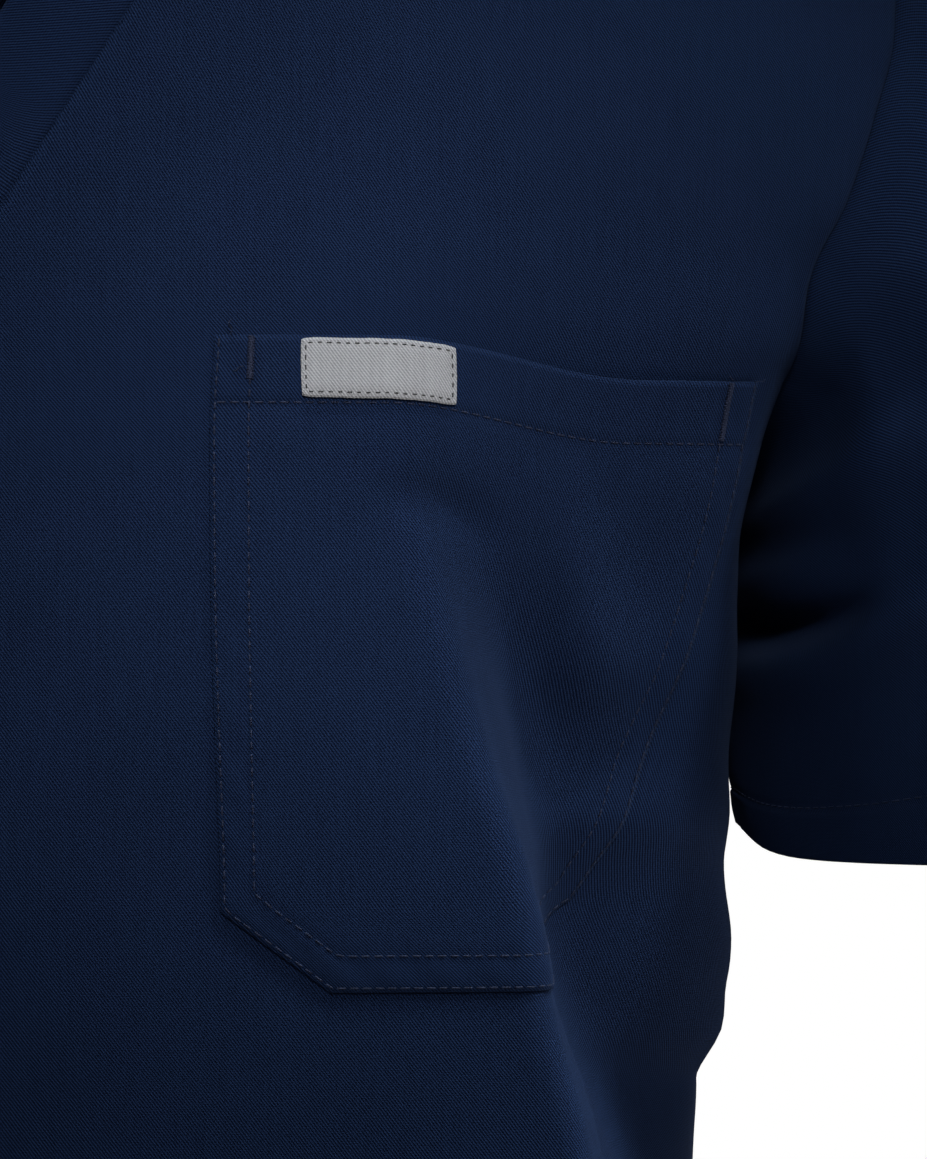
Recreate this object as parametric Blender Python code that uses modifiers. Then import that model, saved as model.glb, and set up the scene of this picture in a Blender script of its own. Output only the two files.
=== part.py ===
"""Medical scrubs: a short-sleeved V-neck top over pull-on trousers, in the shape they have when worn.

Metres, +Z up. The front looks along -Y and +X is the wearer's left. The origin is the middle of the neck
at the height of the shoulders, which carry the top. The tables are in millimetres and degrees.
"""

from collections import namedtuple

import bmesh
import bpy
import numpy as np

MM = 0.001

# Driving sizes, in millimetres
CLOTH_WALL = 1.5
POCKET_WALL = 1.2
LABEL_WALL = 1.0
GAP = 0.4  # between two pieces at a seam, and under a piece that is sewn on
HALF_WIDTH = 280  # the cloth of half a front or back, from its middle to the side seam
TOP_LENGTH = 730
UNDERARM = -268

POCKET_TOP = -234.6
POCKET_HEM = 15
POCKET_SIDE = 128  # from the mouth to where a lower corner is cut off
POCKET_HEIGHT = 146
POCKET_NEAR, POCKET_FAR = 60, 192  # its edges, by the cloth's distance from the centre front

LABEL_NEAR, LABEL_FAR = 79, 113.7
LABEL_INSET_TOP, LABEL_INSET_BOTTOM = 0.7, 1.2

BAND_WIDTH = 24
BAND_LIFT = 0.45  # how steeply the band stands up behind the neck
BAND_POINT = -178  # height of the point of the V, inside the band
BAND_MITRE = 3  # points on each side of it that its mitre takes
BAND_EVENING = 3  # times that the band's lean is evened out from point to point

RIDGE_WIDTH = 24  # the cloth in which a drape fold turns
VALLEY_WIDTH = 25  # the cloth in which it turns back
LONGEST = 300

# The cut of front and back, a row for each height at the centre line. front and back are how far the cloth
# stands before and behind the shoulder line. A row sinks by drop between the distances start and end.
# The necks and edges are the distances at which a panel begins and ends: its neck and its armhole.
Cut = namedtuple("Cut", "height front back drop start end front_neck back_neck front_edge back_edge")
CUTS = [
    Cut(13.5, 0.3, 0.3, 75, 0, 300, 106, 106, 232, 232),
    Cut(13.1, 9, 9, 75.6, 0, 300, 105.8, 105.3, 231.5, 231.5),
    Cut(10.6, 24, 24, 79, 0, 300, 105, 101, 230, 230),
    Cut(0.6, 46, 46, 86, 0, 300, 102.5, 82, 227, 226),
    Cut(-7.5, 56, 57, 88, 0, 300, 100.5, 61, 225.5, 223.5),
    Cut(-13.5, 63.5, 63.5, 89.5, 0, 300, 98.8, 36, 224.4, 222.1),
    Cut(-16.3, 67, 66, 90, 0, 300, 98, 0, 224, 221.5),
    Cut(-41.4, 87, 80, 86, 0, 300, 91, 0, 222, 217),
    Cut(-71.4, 105.5, 93, 79, 0, 300, 81, 0, 221, 214),
    Cut(-104.5, 122, 104, 68, 0, 300, 67, 0, 221, 212),
    Cut(-140.7, 134, 111, 50, 0, 300, 50, 0, 217, 211),
    Cut(-176.8, 139.8, 115, 32, 0, 300, 29.5, 0, 211, 211),
    Cut(-206.9, 143, 117, 16, 40, 250, 11, 0, 205, 213),
    Cut(-225, 144.8, 118, 10, 80, 200, 0, 0, 209, 218),
    Cut(-234.6, 145.7, 118.5, 8.5, 98, 160, 0, 0, 217, 223),
    Cut(-249.6, 147, 119, 8, 98, 160, 0, 0, 243, 241),
    Cut(-259, 147.8, 119, 7.5, 98, 160, 0, 0, 262, 258),
    Cut(UNDERARM, 148.5, 119, 7, 98, 160, 0, 0, 280, 280),
    Cut(-300, 150.9, 117, 5, 98, 160, 0, 0, 280, 280),
    Cut(-340, 153, 114, 2.5, 98, 160, 0, 0, 280, 280),
    Cut(-381, 154, 112, 0, 98, 160, 0, 0, 280, 280),
    Cut(-500, 151, 112, 0, 98, 160, 0, 0, 280, 280),
    Cut(-600, 147, 118, 0, 98, 160, 0, 0, 281, 281),
    Cut(-TOP_LENGTH, 145, 123, 0, 98, 160, 0, 0, 284, 284),
]

# The turn of a row's cloth in plan, from 0 across the body to 90 straight back. It comes up to the drape
# fold's ridge at lead, goes on behind it at turn for hold, opens out to open, looks towards facing at the
# corner of the body, and runs back at side from round on. height as above; the rest along the cloth.
Fold = namedtuple("Fold", "height ridge lead turn hold open corner facing round side")
LEFT_FOLD = [
    Fold(13.5, 107, 0, 0, 20, 0, 190, 0, 240, 0),
    Fold(10.6, 107, 0, 1, 20, 3, 190, 5, 240, 8),
    Fold(0.6, 107, 1, 2, 20, 5, 190, 9, 240, 14),
    Fold(-16.3, 107, 1, 3, 20, 6, 190, 12, 240, 20),
    Fold(-41.4, 107, 1, 4, 20, 8, 190, 15, 240, 26),
    Fold(-71.4, 107, 2, 5, 20, 9, 190, 17, 240, 32),
    Fold(-104.5, 107, 2, 6, 20, 11, 190, 20, 240, 40),
    Fold(-140.7, 107, 3, 8, 20, 14, 190, 23, 240, 48),
    Fold(-176.8, 107, 4, 11, 20, 18, 190, 26, 240, 58),
    Fold(-206.9, 107, 5, 16, 20, 21, 187, 31, 226, 72),
    Fold(-225, 107, 6, 21, 20, 23, 187, 33, 219, 82),
    Fold(-234.6, 107, 7, 25, 20, 24, 187, 35, 215, 90),
    Fold(-249.6, 107, 7, 30, 18, 25, 187, 38, 210, 91),
    Fold(UNDERARM, 107, 8, 38, 15, 25, 187, 38, 208, 92),
    Fold(-285, 110.5, 8, 50, 12, 25, 187, 36, 215, 93),
    Fold(-301.5, 115, 8, 62, 10, 25, 188, 34, 224, 94),
    Fold(-318, 120, 8, 73, 12, 26, 189, 31, 234, 94),
    Fold(-340, 126, 8, 82, 15, 28, 192, 31, 245, 94),
    Fold(-355, 130, 8, 87, 23, 28, 199, 30, 254, 94),
    Fold(-366, 133, 8, 90, 28, 26, 205, 28, 264, 94),
    Fold(-381, 136, 8, 90, 33, 27, 211, 29, 276, 94),
    Fold(-395, 139, 8, 89, 38, 34, 219, 36, 279, 94),
    Fold(-410, 143, 8, 87, 43, 52, 230, 56, 272, 94),
    Fold(-430, 147, 8, 84, 43, 58, 236, 66, 270, 94),
    Fold(-466, 153, 8, 80, 41, 63, 241, 69, 272, 93),
    Fold(-550, 161, 7, 72, 33, 56, 241, 64, 275, 92),
    Fold(-650, 166, 6, 64, 24, 52, 238, 61, 277, 92),
    Fold(-TOP_LENGTH, 168, 6, 60, 20, 50, 236, 60, 278, 91),
]
RIGHT_FOLD = LEFT_FOLD[:13] + [
    Fold(UNDERARM, 111, 8, 34, 16, 26, 187, 39, 210, 92),
    Fold(-300, 118, 8, 48, 14, 27, 188, 38, 217, 93),
    Fold(-340, 128, 8, 63, 16, 32, 191, 42, 234, 93),
    Fold(-381, 137, 7, 72, 22, 42, 204, 51, 252, 93),
    Fold(-430, 146, 7, 76, 28, 51, 224, 59, 264, 93),
    Fold(-500, 155, 7, 72, 26, 53, 232, 60, 271, 92),
    Fold(-600, 162, 6, 64, 22, 51, 232, 60, 275, 92),
    Fold(-TOP_LENGTH, 164, 6, 58, 18, 48, 232, 58, 278, 91),
]
BACK_FOLD = LEFT_FOLD[:8] + [
    Fold(-176.8, 100, 4, 10, 22, 17, 188, 26, 236, 62),
    Fold(-206.9, 100, 4, 12, 22, 20, 188, 30, 232, 76),
    Fold(-249.6, 101, 4, 18, 22, 22, 188, 36, 228, 88),
    Fold(UNDERARM, 102, 4, 22, 22, 23, 190, 38, 228, 90),
    Fold(-340, 108, 5, 40, 22, 30, 194, 42, 240, 91),
    Fold(-420, 116, 6, 52, 24, 38, 202, 50, 255, 91),
    Fold(-500, 123, 6, 54, 24, 42, 206, 54, 262, 91),
    Fold(-600, 128, 5, 48, 24, 42, 206, 54, 266, 91),
    Fold(-TOP_LENGTH, 131, 4, 42, 24, 42, 206, 54, 268, 91),
]

# Heights of the rows of points, and the distances of the columns from the centre line
SHOULDER_ROWS = [cut.height for cut in CUTS[:14]]
POCKET_ROWS = (
    [POCKET_TOP, POCKET_TOP - POCKET_HEM]
    + [-259, UNDERARM, -278, -288.5, -299, -310, -321, -332, -343]
    + [POCKET_TOP - POCKET_SIDE + 10]
    + [POCKET_TOP - POCKET_SIDE, POCKET_TOP - (POCKET_SIDE + POCKET_HEIGHT) / 2, POCKET_TOP - POCKET_HEIGHT]
)
LOWER_ROWS = [-396, -415, -438, -466, -500, -540, -586, -636, -684, -TOP_LENGTH]
ROWS = SHOULDER_ROWS + POCKET_ROWS + LOWER_ROWS
V_POINT_ROW = len(SHOULDER_ROWS) - 1
BACK_NECK_ROW = ROWS.index(-16.3)
UNDERARM_ROW = ROWS.index(UNDERARM)

POCKET_COLUMNS = [60, 72.5, 85, 95, 103, 111, 119, 127, 135, 143, 151, 159, 168, 179.5, 192]
LEFT_COLUMNS = [0, 20, 40] + POCKET_COLUMNS + [204, 216, 230, 246, 263, 280]
RIGHT_COLUMNS = [0, 30, 60, 88, 110, 128, 146, 166, 190, 212, 234, 257, 280]
BACK_COLUMNS = [0, 40, 76, 104, 126, 150, 178, 208, 236, 259, 280]
NEAREST = 0.2  # the least share of a row that lies before the pocket's columns
EDGE_ROOM = 18  # the least width of cloth behind them

# Sleeves: the hem's ring and how the cloth leaves the armhole
ARM = (0.10, -0.03, -1)  # the way a hanging arm goes
HEM_CENTRE = (250, -12, -356)
HEM_HALF_WIDTH, HEM_HALF_DEPTH = 67, 76
HEM_LIFT = 8  # how far the hem is drawn up at its inner side
SLEEVE_RINGS = 9
SLEEVE_START = 0.55  # how far the cloth keeps its way at the armhole, by the length of its run
SLEEVE_END = 0.60
SLEEVE_SLOPE = 0.32  # how steeply it leaves the armhole, downwards
# Each sleeve fold runs from one place to another. around is 0 at the underarm, 0.25 in front, 0.5 on top.
Crease = namedtuple("Crease", "around down around_end down_end depth width")
SLEEVE_CREASES = [
    Crease(0.10, 0.55, 0.33, 0.22, 5, 0.09),
    Crease(0.06, 0.80, 0.30, 0.62, -5, 0.07),
    Crease(0.78, 0.20, 0.92, 0.62, 5, 0.09),
    Crease(0.70, 0.55, 0.90, 0.85, -4, 0.08),
]

# Trousers. A leg panel runs from its inner seam round to the outer seam, as one curve in plan that leaves
# the inner seam at angle out (90 is straight away from the seams, 0 is across) with a handle of inner_pull
# and reaches the outer seam with a handle of outer_pull. Above the crotch the inner seam is the centre's.
Leg = namedtuple("Leg", "height inner_x inner_y outer_x outer_y out inner_pull outer_pull")
WAIST_TOP, WAIST_SEAM, CROTCH, TROUSER_HEM = -418, -456, -722, -1440
FRONT_LEG = [
    Leg(WAIST_SEAM, 0, -104, 150, 0, 0, 84, 58),
    Leg(-540, 0, -116, 165, 0, 0, 92, 64),
    Leg(-610, 0, -114, 176, 0, 6, 92, 66),
    Leg(-660, 0, -98, 180, 0, 26, 84, 74),
    Leg(-700, 0, -64, 182, 0, 60, 76, 98),
    Leg(-716, 0, -28, 182, 0, 80, 112, 124),
    Leg(CROTCH, 0, 4, 182, 0, 92, 142, 138),
    Leg(-760, 10, 5, 181, 0, 92, 138, 134),
    Leg(-860, 24, 6, 179, 0, 90, 122, 122),
    Leg(-980, 32, 4, 177, 0, 90, 112, 112),
    Leg(-1200, 40, 6, 180, 2, 90, 96, 96),
    Leg(TROUSER_HEM, 44, 4, 186, 2, 90, 104, 104),
]
BACK_LEG = [
    Leg(WAIST_SEAM, 0, 92, 150, 0, 0, 84, 50),
    Leg(-540, 0, 104, 165, 0, 0, 92, 58),
    Leg(-610, 0, 116.7, 176, 0, 4, 94, 64),
    Leg(-660, 0, 108, 180, 0, 20, 88, 76),
    Leg(-700, 0, 82, 182, 0, 52, 74, 100),
    Leg(-716, 0, 46, 182, 0, 76, 94, 126),
    Leg(CROTCH, 0, 4, 182, 0, 92, 138, 138),
    Leg(-760, 10, 5, 181, 0, 92, 136, 134),
    Leg(-860, 24, 6, 179, 0, 90, 122, 120),
    Leg(-980, 32, 4, 177, 0, 90, 108, 108),
    Leg(-1200, 40, 6, 180, 2, 90, 110, 110),
    Leg(TROUSER_HEM, 44, 4, 186, 2, 90, 104, 104),
]
LEG_ROWS = [WAIST_SEAM, -500, -545, -590, -630, -664, -690, -708, CROTCH, -745, -780, -830, -900]
LEG_ROWS += [-980, -1060, -1150, -1250, -1350, TROUSER_HEM]
LEG_COLUMNS = 10  # points from the inner seam to the outer one

COLOURS = {"cloth": (0.010, 0.018, 0.045, 1), "label": (0.26, 0.25, 0.24, 1)}


def smooth_curve(xs, ys, x):
    """The smooth curve through the points (xs, ys), read at x. It never overshoots a point."""
    xs, ys = np.asarray(xs, float), np.asarray(ys, float)
    step = np.diff(xs)
    slope = np.diff(ys) / step
    before, after = slope[:-1], slope[1:]
    weight_before, weight_after = 2 * step[1:] + step[:-1], step[1:] + 2 * step[:-1]
    turning = before * after <= 0
    safe_before, safe_after = np.where(turning, 1, before), np.where(turning, 1, after)
    mean = (weight_before + weight_after) / (weight_before / safe_before + weight_after / safe_after)
    tangent = np.concatenate([[slope[0]], np.where(turning, 0, mean), [slope[-1]]])
    i = np.clip(np.searchsorted(xs, x, side="right") - 1, 0, len(step) - 1)
    t = np.clip((x - xs[i]) / step[i], 0, 1)
    rise = ys[i] + step[i] * t * (1 - t) ** 2 * tangent[i] - step[i] * t**2 * (1 - t) * tangent[i + 1]
    return rise + (ys[i + 1] - ys[i]) * t**2 * (3 - 2 * t)


def read(table, height):
    """The row of a table at any height, each column read from its smooth curve."""
    rows = sorted(table)
    heights = [row.height for row in rows]
    columns = zip(*rows)
    return type(rows[0])(*(float(smooth_curve(heights, column, height)) for column in columns))


def soft_step(t):
    t = np.clip(t, 0, 1)
    return t * t * (3 - 2 * t)


def unit(v):
    return v / np.maximum(np.linalg.norm(v, axis=-1, keepdims=True), 1e-12)


# The top's front and back


def plan(fold, distances):
    """Where the cloth of a row lies in plan, across and away from its centre, at distances along it."""
    turned = fold.ridge + RIDGE_WIDTH / 2
    opened = turned + fold.hold + VALLEY_WIDTH
    knots = [
        (0, 0),
        (fold.ridge - RIDGE_WIDTH / 2, fold.lead),
        (turned, fold.turn),
        (turned + fold.hold, fold.turn),
        (opened, fold.open),
        (max(fold.corner, opened + 4), fold.facing),
        (fold.round, fold.side),
        (LONGEST, fold.side),
    ]
    fine = np.linspace(0, LONGEST, LONGEST + 1)
    way = np.radians(smooth_curve(*zip(*knots), fine))
    middle = (way[1:] + way[:-1]) / 2
    across = np.concatenate([[0], np.cumsum(np.cos(middle))])
    away = np.concatenate([[0], np.cumsum(np.sin(middle))])
    return np.interp(distances, fine, across), np.interp(distances, fine, away)


def row_height(cut, distances):
    return cut.height - cut.drop * soft_step((np.asarray(distances) - cut.start) / (cut.end - cut.start))


def column_distances(columns, neck, edge):
    """The columns of one row, between its neck and its edge. They keep the pocket's sides straight."""
    near = max(POCKET_NEAR, neck + NEAREST * (edge - neck))
    far = min(POCKET_FAR, edge - EDGE_ROOM)
    return np.interp(columns, [0, POCKET_NEAR, POCKET_FAR, HALF_WIDTH], [neck, near, far, edge - GAP / 2])


def front_half(columns, folds, side):
    """Points of half the front, a row for each height. side is 1 on the wearer's left, -1 on the right."""
    rows = []
    for height in ROWS:
        cut, fold = read(CUTS, height), read(folds, height)
        distances = column_distances(columns, cut.front_neck, cut.front_edge)
        across, away = plan(fold, distances)
        rows.append(np.stack([side * across, away - cut.front, row_height(cut, distances)], axis=-1))
    return np.array(rows)


def back_half(columns, folds, side):
    """Points of half the back. Its rows are stretched a little so that they end where the front's do."""
    rows = []
    for height in ROWS:
        cut, fold, reach = read(CUTS, height), read(BACK_FOLD, height), read(CUTS, min(height, UNDERARM))
        front_end = plan(read(folds, reach.height), [reach.front_edge])
        back_end = plan(read(BACK_FOLD, reach.height), [reach.back_edge])
        fit = soft_step((-200 - height) / (-200 - UNDERARM))
        wider = 1 + fit * (front_end[0][0] / back_end[0][0] - 1)
        deeper = 1 + fit * ((reach.front + reach.back - front_end[1][0]) / back_end[1][0] - 1)
        distances = column_distances(columns, cut.back_neck, cut.back_edge)
        across, away = plan(fold, distances)
        x, y = side * wider * across, cut.back - deeper * away
        rows.append(np.stack([x, y, row_height(cut, distances)], axis=-1))
    return np.array(rows)


# Meshes


def cloth_object(name, points, faces, wall, colour):
    """An open surface with its own material, thickened inwards. Points are in millimetres."""
    mesh = bpy.data.meshes.new(name)
    mesh.from_pydata([tuple(p) for p in np.asarray(points) * MM], [], faces)
    mesh.shade_smooth()
    material = bpy.data.materials.new(name)
    material.use_nodes = True
    shader = material.node_tree.nodes["Principled BSDF"]
    shader.inputs["Base Color"].default_value = COLOURS[colour]
    shader.inputs["Roughness"].default_value = 0.85
    shader.inputs["Metallic"].default_value = 0
    mesh.materials.append(material)
    made = bpy.data.objects.new(name, mesh)
    bpy.data.collections["scrubs"].objects.link(made)
    thicken = made.modifiers.new("wall", "SOLIDIFY")
    thicken.thickness = wall * MM
    thicken.offset = -1
    return made


def cell_faces(grid, keep=lambda row, column: True, lean=lambda column: True, flip=False):
    """Triangles of a grid of vertex numbers. lean tells which way a cell's diagonal goes."""
    faces = []
    for row in range(len(grid) - 1):
        for column in range(len(grid[0]) - 1):
            if not keep(row, column):
                continue
            a, b = grid[row][column], grid[row][column + 1]
            c, d = grid[row + 1][column + 1], grid[row + 1][column]
            pair = [(a, d, c), (a, c, b)] if lean(column) else [(a, d, b), (b, d, c)]
            faces += pair
    return [face[::-1] for face in faces] if flip else faces


def diagonal_down(column):
    """Cells up to the pocket's middle have the diagonal of its near corner, the others the far corner's."""
    return LEFT_COLUMNS[column] < (POCKET_NEAR + POCKET_FAR) / 2


def two_halves(left, right, slit_row):
    """Points and faces of a panel from its two halves, which share the centre line below slit_row."""
    rows, left_count, right_count = len(left), left.shape[1], right.shape[1]
    points = np.concatenate([left.reshape(-1, 3), right.reshape(-1, 3)])
    left_grid = np.arange(rows * left_count).reshape(rows, left_count)
    right_grid = rows * left_count + np.arange(rows * right_count).reshape(rows, right_count)
    right_grid[slit_row:, 0] = left_grid[slit_row:, 0]
    return points, left_grid, right_grid


def used_only(points, faces):
    """Leaves out the points that no face uses."""
    used = sorted({corner for face in faces for corner in face})
    number = {old: new for new, old in enumerate(used)}
    return np.asarray(points)[used], [tuple(number[corner] for corner in face) for face in faces]


def vertex_normals(points, faces):
    """The normals that the Solidify modifier moves each point along."""
    mesh = bpy.data.meshes.new("scratch")
    mesh.from_pydata([tuple(p) for p in points], [], faces)
    shape = bmesh.new()
    shape.from_mesh(mesh)
    shape.normal_update()
    normals = np.array([vertex.normal[:] for vertex in shape.verts])
    shape.free()
    bpy.data.meshes.remove(mesh)
    return normals


def make_front():
    left = front_half(LEFT_COLUMNS, LEFT_FOLD, 1)
    right = front_half(RIGHT_COLUMNS, RIGHT_FOLD, -1)
    points, left_grid, right_grid = two_halves(left, right, V_POINT_ROW)
    faces = cell_faces(left_grid, lean=diagonal_down) + cell_faces(right_grid, flip=True)
    normals = vertex_normals(points, faces)
    cloth_object("top_front", *used_only(points, faces), CLOTH_WALL, "cloth")
    return left, right, normals[left_grid]


def make_back():
    left = back_half(BACK_COLUMNS, LEFT_FOLD, 1)
    right = back_half(BACK_COLUMNS, RIGHT_FOLD, -1)
    points, left_grid, right_grid = two_halves(left, right, BACK_NECK_ROW)
    faces = cell_faces(left_grid, flip=True) + cell_faces(right_grid)
    cloth_object("top_back", *used_only(points, faces), CLOTH_WALL, "cloth")
    return left, right


# The pocket and its label


def make_pocket(front_left, normals):
    """The pocket is the front's own points under it, moved out, without the two cut corners."""
    first_row, first_column = ROWS.index(POCKET_TOP), LEFT_COLUMNS.index(POCKET_NEAR)
    rows = slice(first_row, first_row + len(POCKET_ROWS))
    columns = slice(first_column, first_column + len(POCKET_COLUMNS))
    outer = front_left[rows, columns] + (GAP + POCKET_WALL) * normals[rows, columns]
    height, width = outer.shape[0] - 1, outer.shape[1] - 1
    grid = np.arange(outer.shape[0] * outer.shape[1]).reshape(outer.shape[:2])

    def whole(row, column):
        from_edge = min(column, width - 1 - column)
        return from_edge + (height - 1 - row) >= 2

    def down(column):
        return diagonal_down(first_column + column)

    faces = cell_faces(grid, whole, down)
    for step in (0, 1):  # the cells that each cut corner halves, along their diagonals
        row = height - 2 + step
        a, b, c = grid[row][step], grid[row][step + 1], grid[row + 1][step + 1]
        faces.append((a, c, b))
        a, b, c = grid[row][width - 1 - step], grid[row][width - step], grid[row + 1][width - 1 - step]
        faces.append((a, c, b))
    cloth_object("chest_pocket", *used_only(outer.reshape(-1, 3), faces), POCKET_WALL, "cloth")
    return outer


def make_label(pocket):
    """The label lies on the pocket's hem, between its first two rows of points."""
    stations = [LABEL_NEAR, 85, 95, 103, 111, LABEL_FAR]
    mouth, hem = pocket[0], pocket[1]
    across = np.array([[np.interp(stations, POCKET_COLUMNS, row[:, i]) for i in range(3)] for row in (mouth, hem)])
    across = across.transpose(0, 2, 1)
    down = across[1] - across[0]
    top = across[0] + down * LABEL_INSET_TOP / POCKET_HEM
    bottom = across[1] - down * LABEL_INSET_BOTTOM / POCKET_HEM
    points = np.concatenate([top, bottom])
    faces = cell_faces(np.arange(len(points)).reshape(2, -1))
    points = points + (GAP + LABEL_WALL) * vertex_normals(points, faces)
    cloth_object("pocket_label", points, faces, LABEL_WALL, "label")


# The neck band


def make_band(front_left, front_right, back_left, back_right):
    """One ring: its outer edge follows the neck's cut, its inner edge is a band's width further in."""
    stretches = [
        (front_left, range(V_POINT_ROW, -1, -1)),
        (back_left, range(1, BACK_NECK_ROW + 1)),
        (back_right, range(BACK_NECK_ROW - 1, 0, -1)),
        (front_right, range(0, V_POINT_ROW)),
    ]
    edge = np.array([half[row, 0] for half, rows in stretches for row in rows])
    onwards = [2 * half[row, 0] - half[row, 1] - half[row + 1, 0] for half, rows in stretches for row in rows]
    count = len(edge)
    along = unit(np.roll(edge, -1, axis=0) - np.roll(edge, 1, axis=0))
    # The band goes on from the cloth that it is sewn to, and stands up more and more behind the neck.
    onwards = np.array(onwards)
    onwards = unit(onwards - (onwards * along).sum(1, keepdims=True) * along)
    upwards = np.cross(along, onwards)
    upwards *= np.sign(upwards[:, 2:])
    lift = BAND_LIFT * soft_step((edge[:, 1:2] + 50) / 90)
    leaning = unit(onwards + lift * upwards)
    for _ in range(BAND_EVENING):
        leaning = unit(np.roll(leaning, 1, axis=0) + 2 * leaning + np.roll(leaning, -1, axis=0))
    inner = edge + BAND_WIDTH * leaning
    point = np.array([0, -read(CUTS, BAND_POINT).front, BAND_POINT])
    for step in range(BAND_MITRE):
        share = step / BAND_MITRE
        inner[step] = point + share * (inner[BAND_MITRE] - point)
        inner[-step] = point + share * (inner[-BAND_MITRE] - point)
    outer = edge + GAP * unit(inner - edge)
    points = np.concatenate([outer, inner])
    ring = np.arange(count)
    grid = np.stack([np.append(ring, 0), np.append(ring, 0) + count])
    cloth_object("neck_band", points, cell_faces(grid, flip=True), CLOTH_WALL, "cloth")


# Sleeves


def armhole(front, back):
    """The armhole's points, from the underarm up the front and down the back, and the way out of it."""
    front_up = range(UNDERARM_ROW, -1, -1)
    back_down = range(1, UNDERARM_ROW)
    edge = np.array([front[row, -1] for row in front_up] + [back[row, -1] for row in back_down])
    before = np.array([front[row, -2] for row in front_up] + [back[row, -2] for row in back_down])
    return edge, unit(edge - before)


def make_sleeve(name, front, back, side):
    edge, onwards = armhole(front, back)
    along = unit(np.roll(edge, -1, axis=0) - np.roll(edge, 1, axis=0))
    panel_out = unit(np.cross(onwards, along)) * side
    outwards = unit(np.array([side, 0, -SLEEVE_SLOPE]))
    start = outwards - np.minimum((outwards * panel_out).sum(1, keepdims=True), 0) * panel_out
    lengths = np.linalg.norm(np.roll(edge, -1, axis=0) - edge, axis=1)
    around = np.concatenate([[0], np.cumsum(lengths)[:-1]]) / lengths.sum()
    angle = 2 * np.pi * around
    across = -np.cos(angle)
    hem = np.stack([
        side * (HEM_CENTRE[0] + HEM_HALF_WIDTH * across),
        HEM_CENTRE[1] - HEM_HALF_DEPTH * np.sin(angle),
        HEM_CENTRE[2] + HEM_LIFT * np.maximum(np.cos(angle), 0) ** 6,
    ], axis=-1)
    down = unit(np.array([side * ARM[0], ARM[1], ARM[2]]))
    run = np.linalg.norm(hem - edge, axis=1, keepdims=True)
    first = edge + GAP * 1.5 * unit(onwards + start)
    rings = []
    for t in np.linspace(0, 1, SLEEVE_RINGS + 1):
        leave, arrive = SLEEVE_START * run * unit(start), SLEEVE_END * run * down
        rings.append(
            (2 * t**3 - 3 * t**2 + 1) * first + (t**3 - 2 * t**2 + t) * leave
            + (3 * t**2 - 2 * t**3) * hem + (t**3 - t**2) * arrive
        )
    rings = np.array(rings)
    rings += crease_shift(rings, around, side)
    count = len(edge)
    grid = np.array([[r * count + i % count for i in range(count + 1)] for r in range(len(rings))])
    cloth_object(name, rings.reshape(-1, 3), cell_faces(grid, flip=side < 0), CLOTH_WALL, "cloth")


def crease_shift(rings, around, side):
    """How far the sleeve's creases move its points, away from the middle of each ring."""
    middle = rings.mean(axis=1, keepdims=True)
    out = rings - middle
    out[..., 2] = 0
    out = unit(out)
    down = np.linspace(0, 1, len(rings))[:, None]
    shift = np.zeros(rings.shape[:2])
    for crease in SLEEVE_CREASES:
        start = np.array([crease.around, crease.down])
        run = np.array([crease.around_end, crease.down_end]) - start
        place = np.stack(np.broadcast_arrays(around[None, :], down), axis=-1) - start
        share = np.clip((place @ run) / (run @ run), 0, 1)
        away = np.linalg.norm(place - share[..., None] * run, axis=-1)
        fade = np.sin(np.pi * np.clip(0.1 + 0.8 * (place @ run) / (run @ run), 0, 1))
        shift += crease.depth * fade * np.exp(-((away / crease.width) ** 2))
    return shift[..., None] * out


# Trousers


def leg_points(table, side, towards):
    """Points of one leg panel. towards is -1 for a front and 1 for a back."""
    rows = []
    for height in LEG_ROWS:
        leg = read(table, height)
        shift = GAP / 2
        inner = np.array([leg.inner_x + shift, leg.inner_y + (towards * shift if leg.out > 80 else 0)])
        outer = np.array([leg.outer_x, leg.outer_y + towards * shift])
        turn = np.radians(leg.out)
        first = inner + leg.inner_pull * np.array([np.cos(turn), towards * np.sin(turn)])
        second = outer + leg.outer_pull * np.array([0, towards])
        t = (1 - np.cos(np.linspace(0, np.pi, LEG_COLUMNS)))[:, None] / 2  # closer at the seams
        curve = (
            (1 - t) ** 3 * inner + 3 * t * (1 - t) ** 2 * first
            + 3 * t**2 * (1 - t) * second + t**3 * outer
        )
        curve[:, 0] *= side
        rows.append(np.column_stack([curve, np.full(LEG_COLUMNS, leg.height)]))
    return np.array(rows)


def make_legs():
    for side, which in ((1, "left"), (-1, "right")):
        for table, towards, face in ((FRONT_LEG, -1, "front"), (BACK_LEG, 1, "back")):
            points = leg_points(table, side, towards)
            grid = np.arange(points.shape[0] * LEG_COLUMNS).reshape(-1, LEG_COLUMNS)
            faces = cell_faces(grid, flip=side * towards > 0)
            cloth_object(f"trouser_{face}_{which}", points.reshape(-1, 3), faces, CLOTH_WALL, "cloth")


def make_waistband():
    """A ring on the trousers' upper edge."""
    top_row = [leg_points(FRONT_LEG, 1, -1)[0], leg_points(BACK_LEG, 1, 1)[0]]
    ring = np.concatenate([top_row[0], top_row[1][::-1][1:]])
    mirrored = ring[::-1] * np.array([-1, 1, 1])
    ring = np.concatenate([ring, mirrored])[:, :2]
    count = len(ring)
    rows = [
        np.column_stack([ring, np.full(count, height)])
        for height in (WAIST_TOP, (WAIST_TOP + WAIST_SEAM) / 2, WAIST_SEAM + GAP)
    ]
    grid = np.array([[r * count + i % count for i in range(count + 1)] for r in range(3)])
    cloth_object("waistband", np.concatenate(rows), cell_faces(grid), CLOTH_WALL, "cloth")


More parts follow.
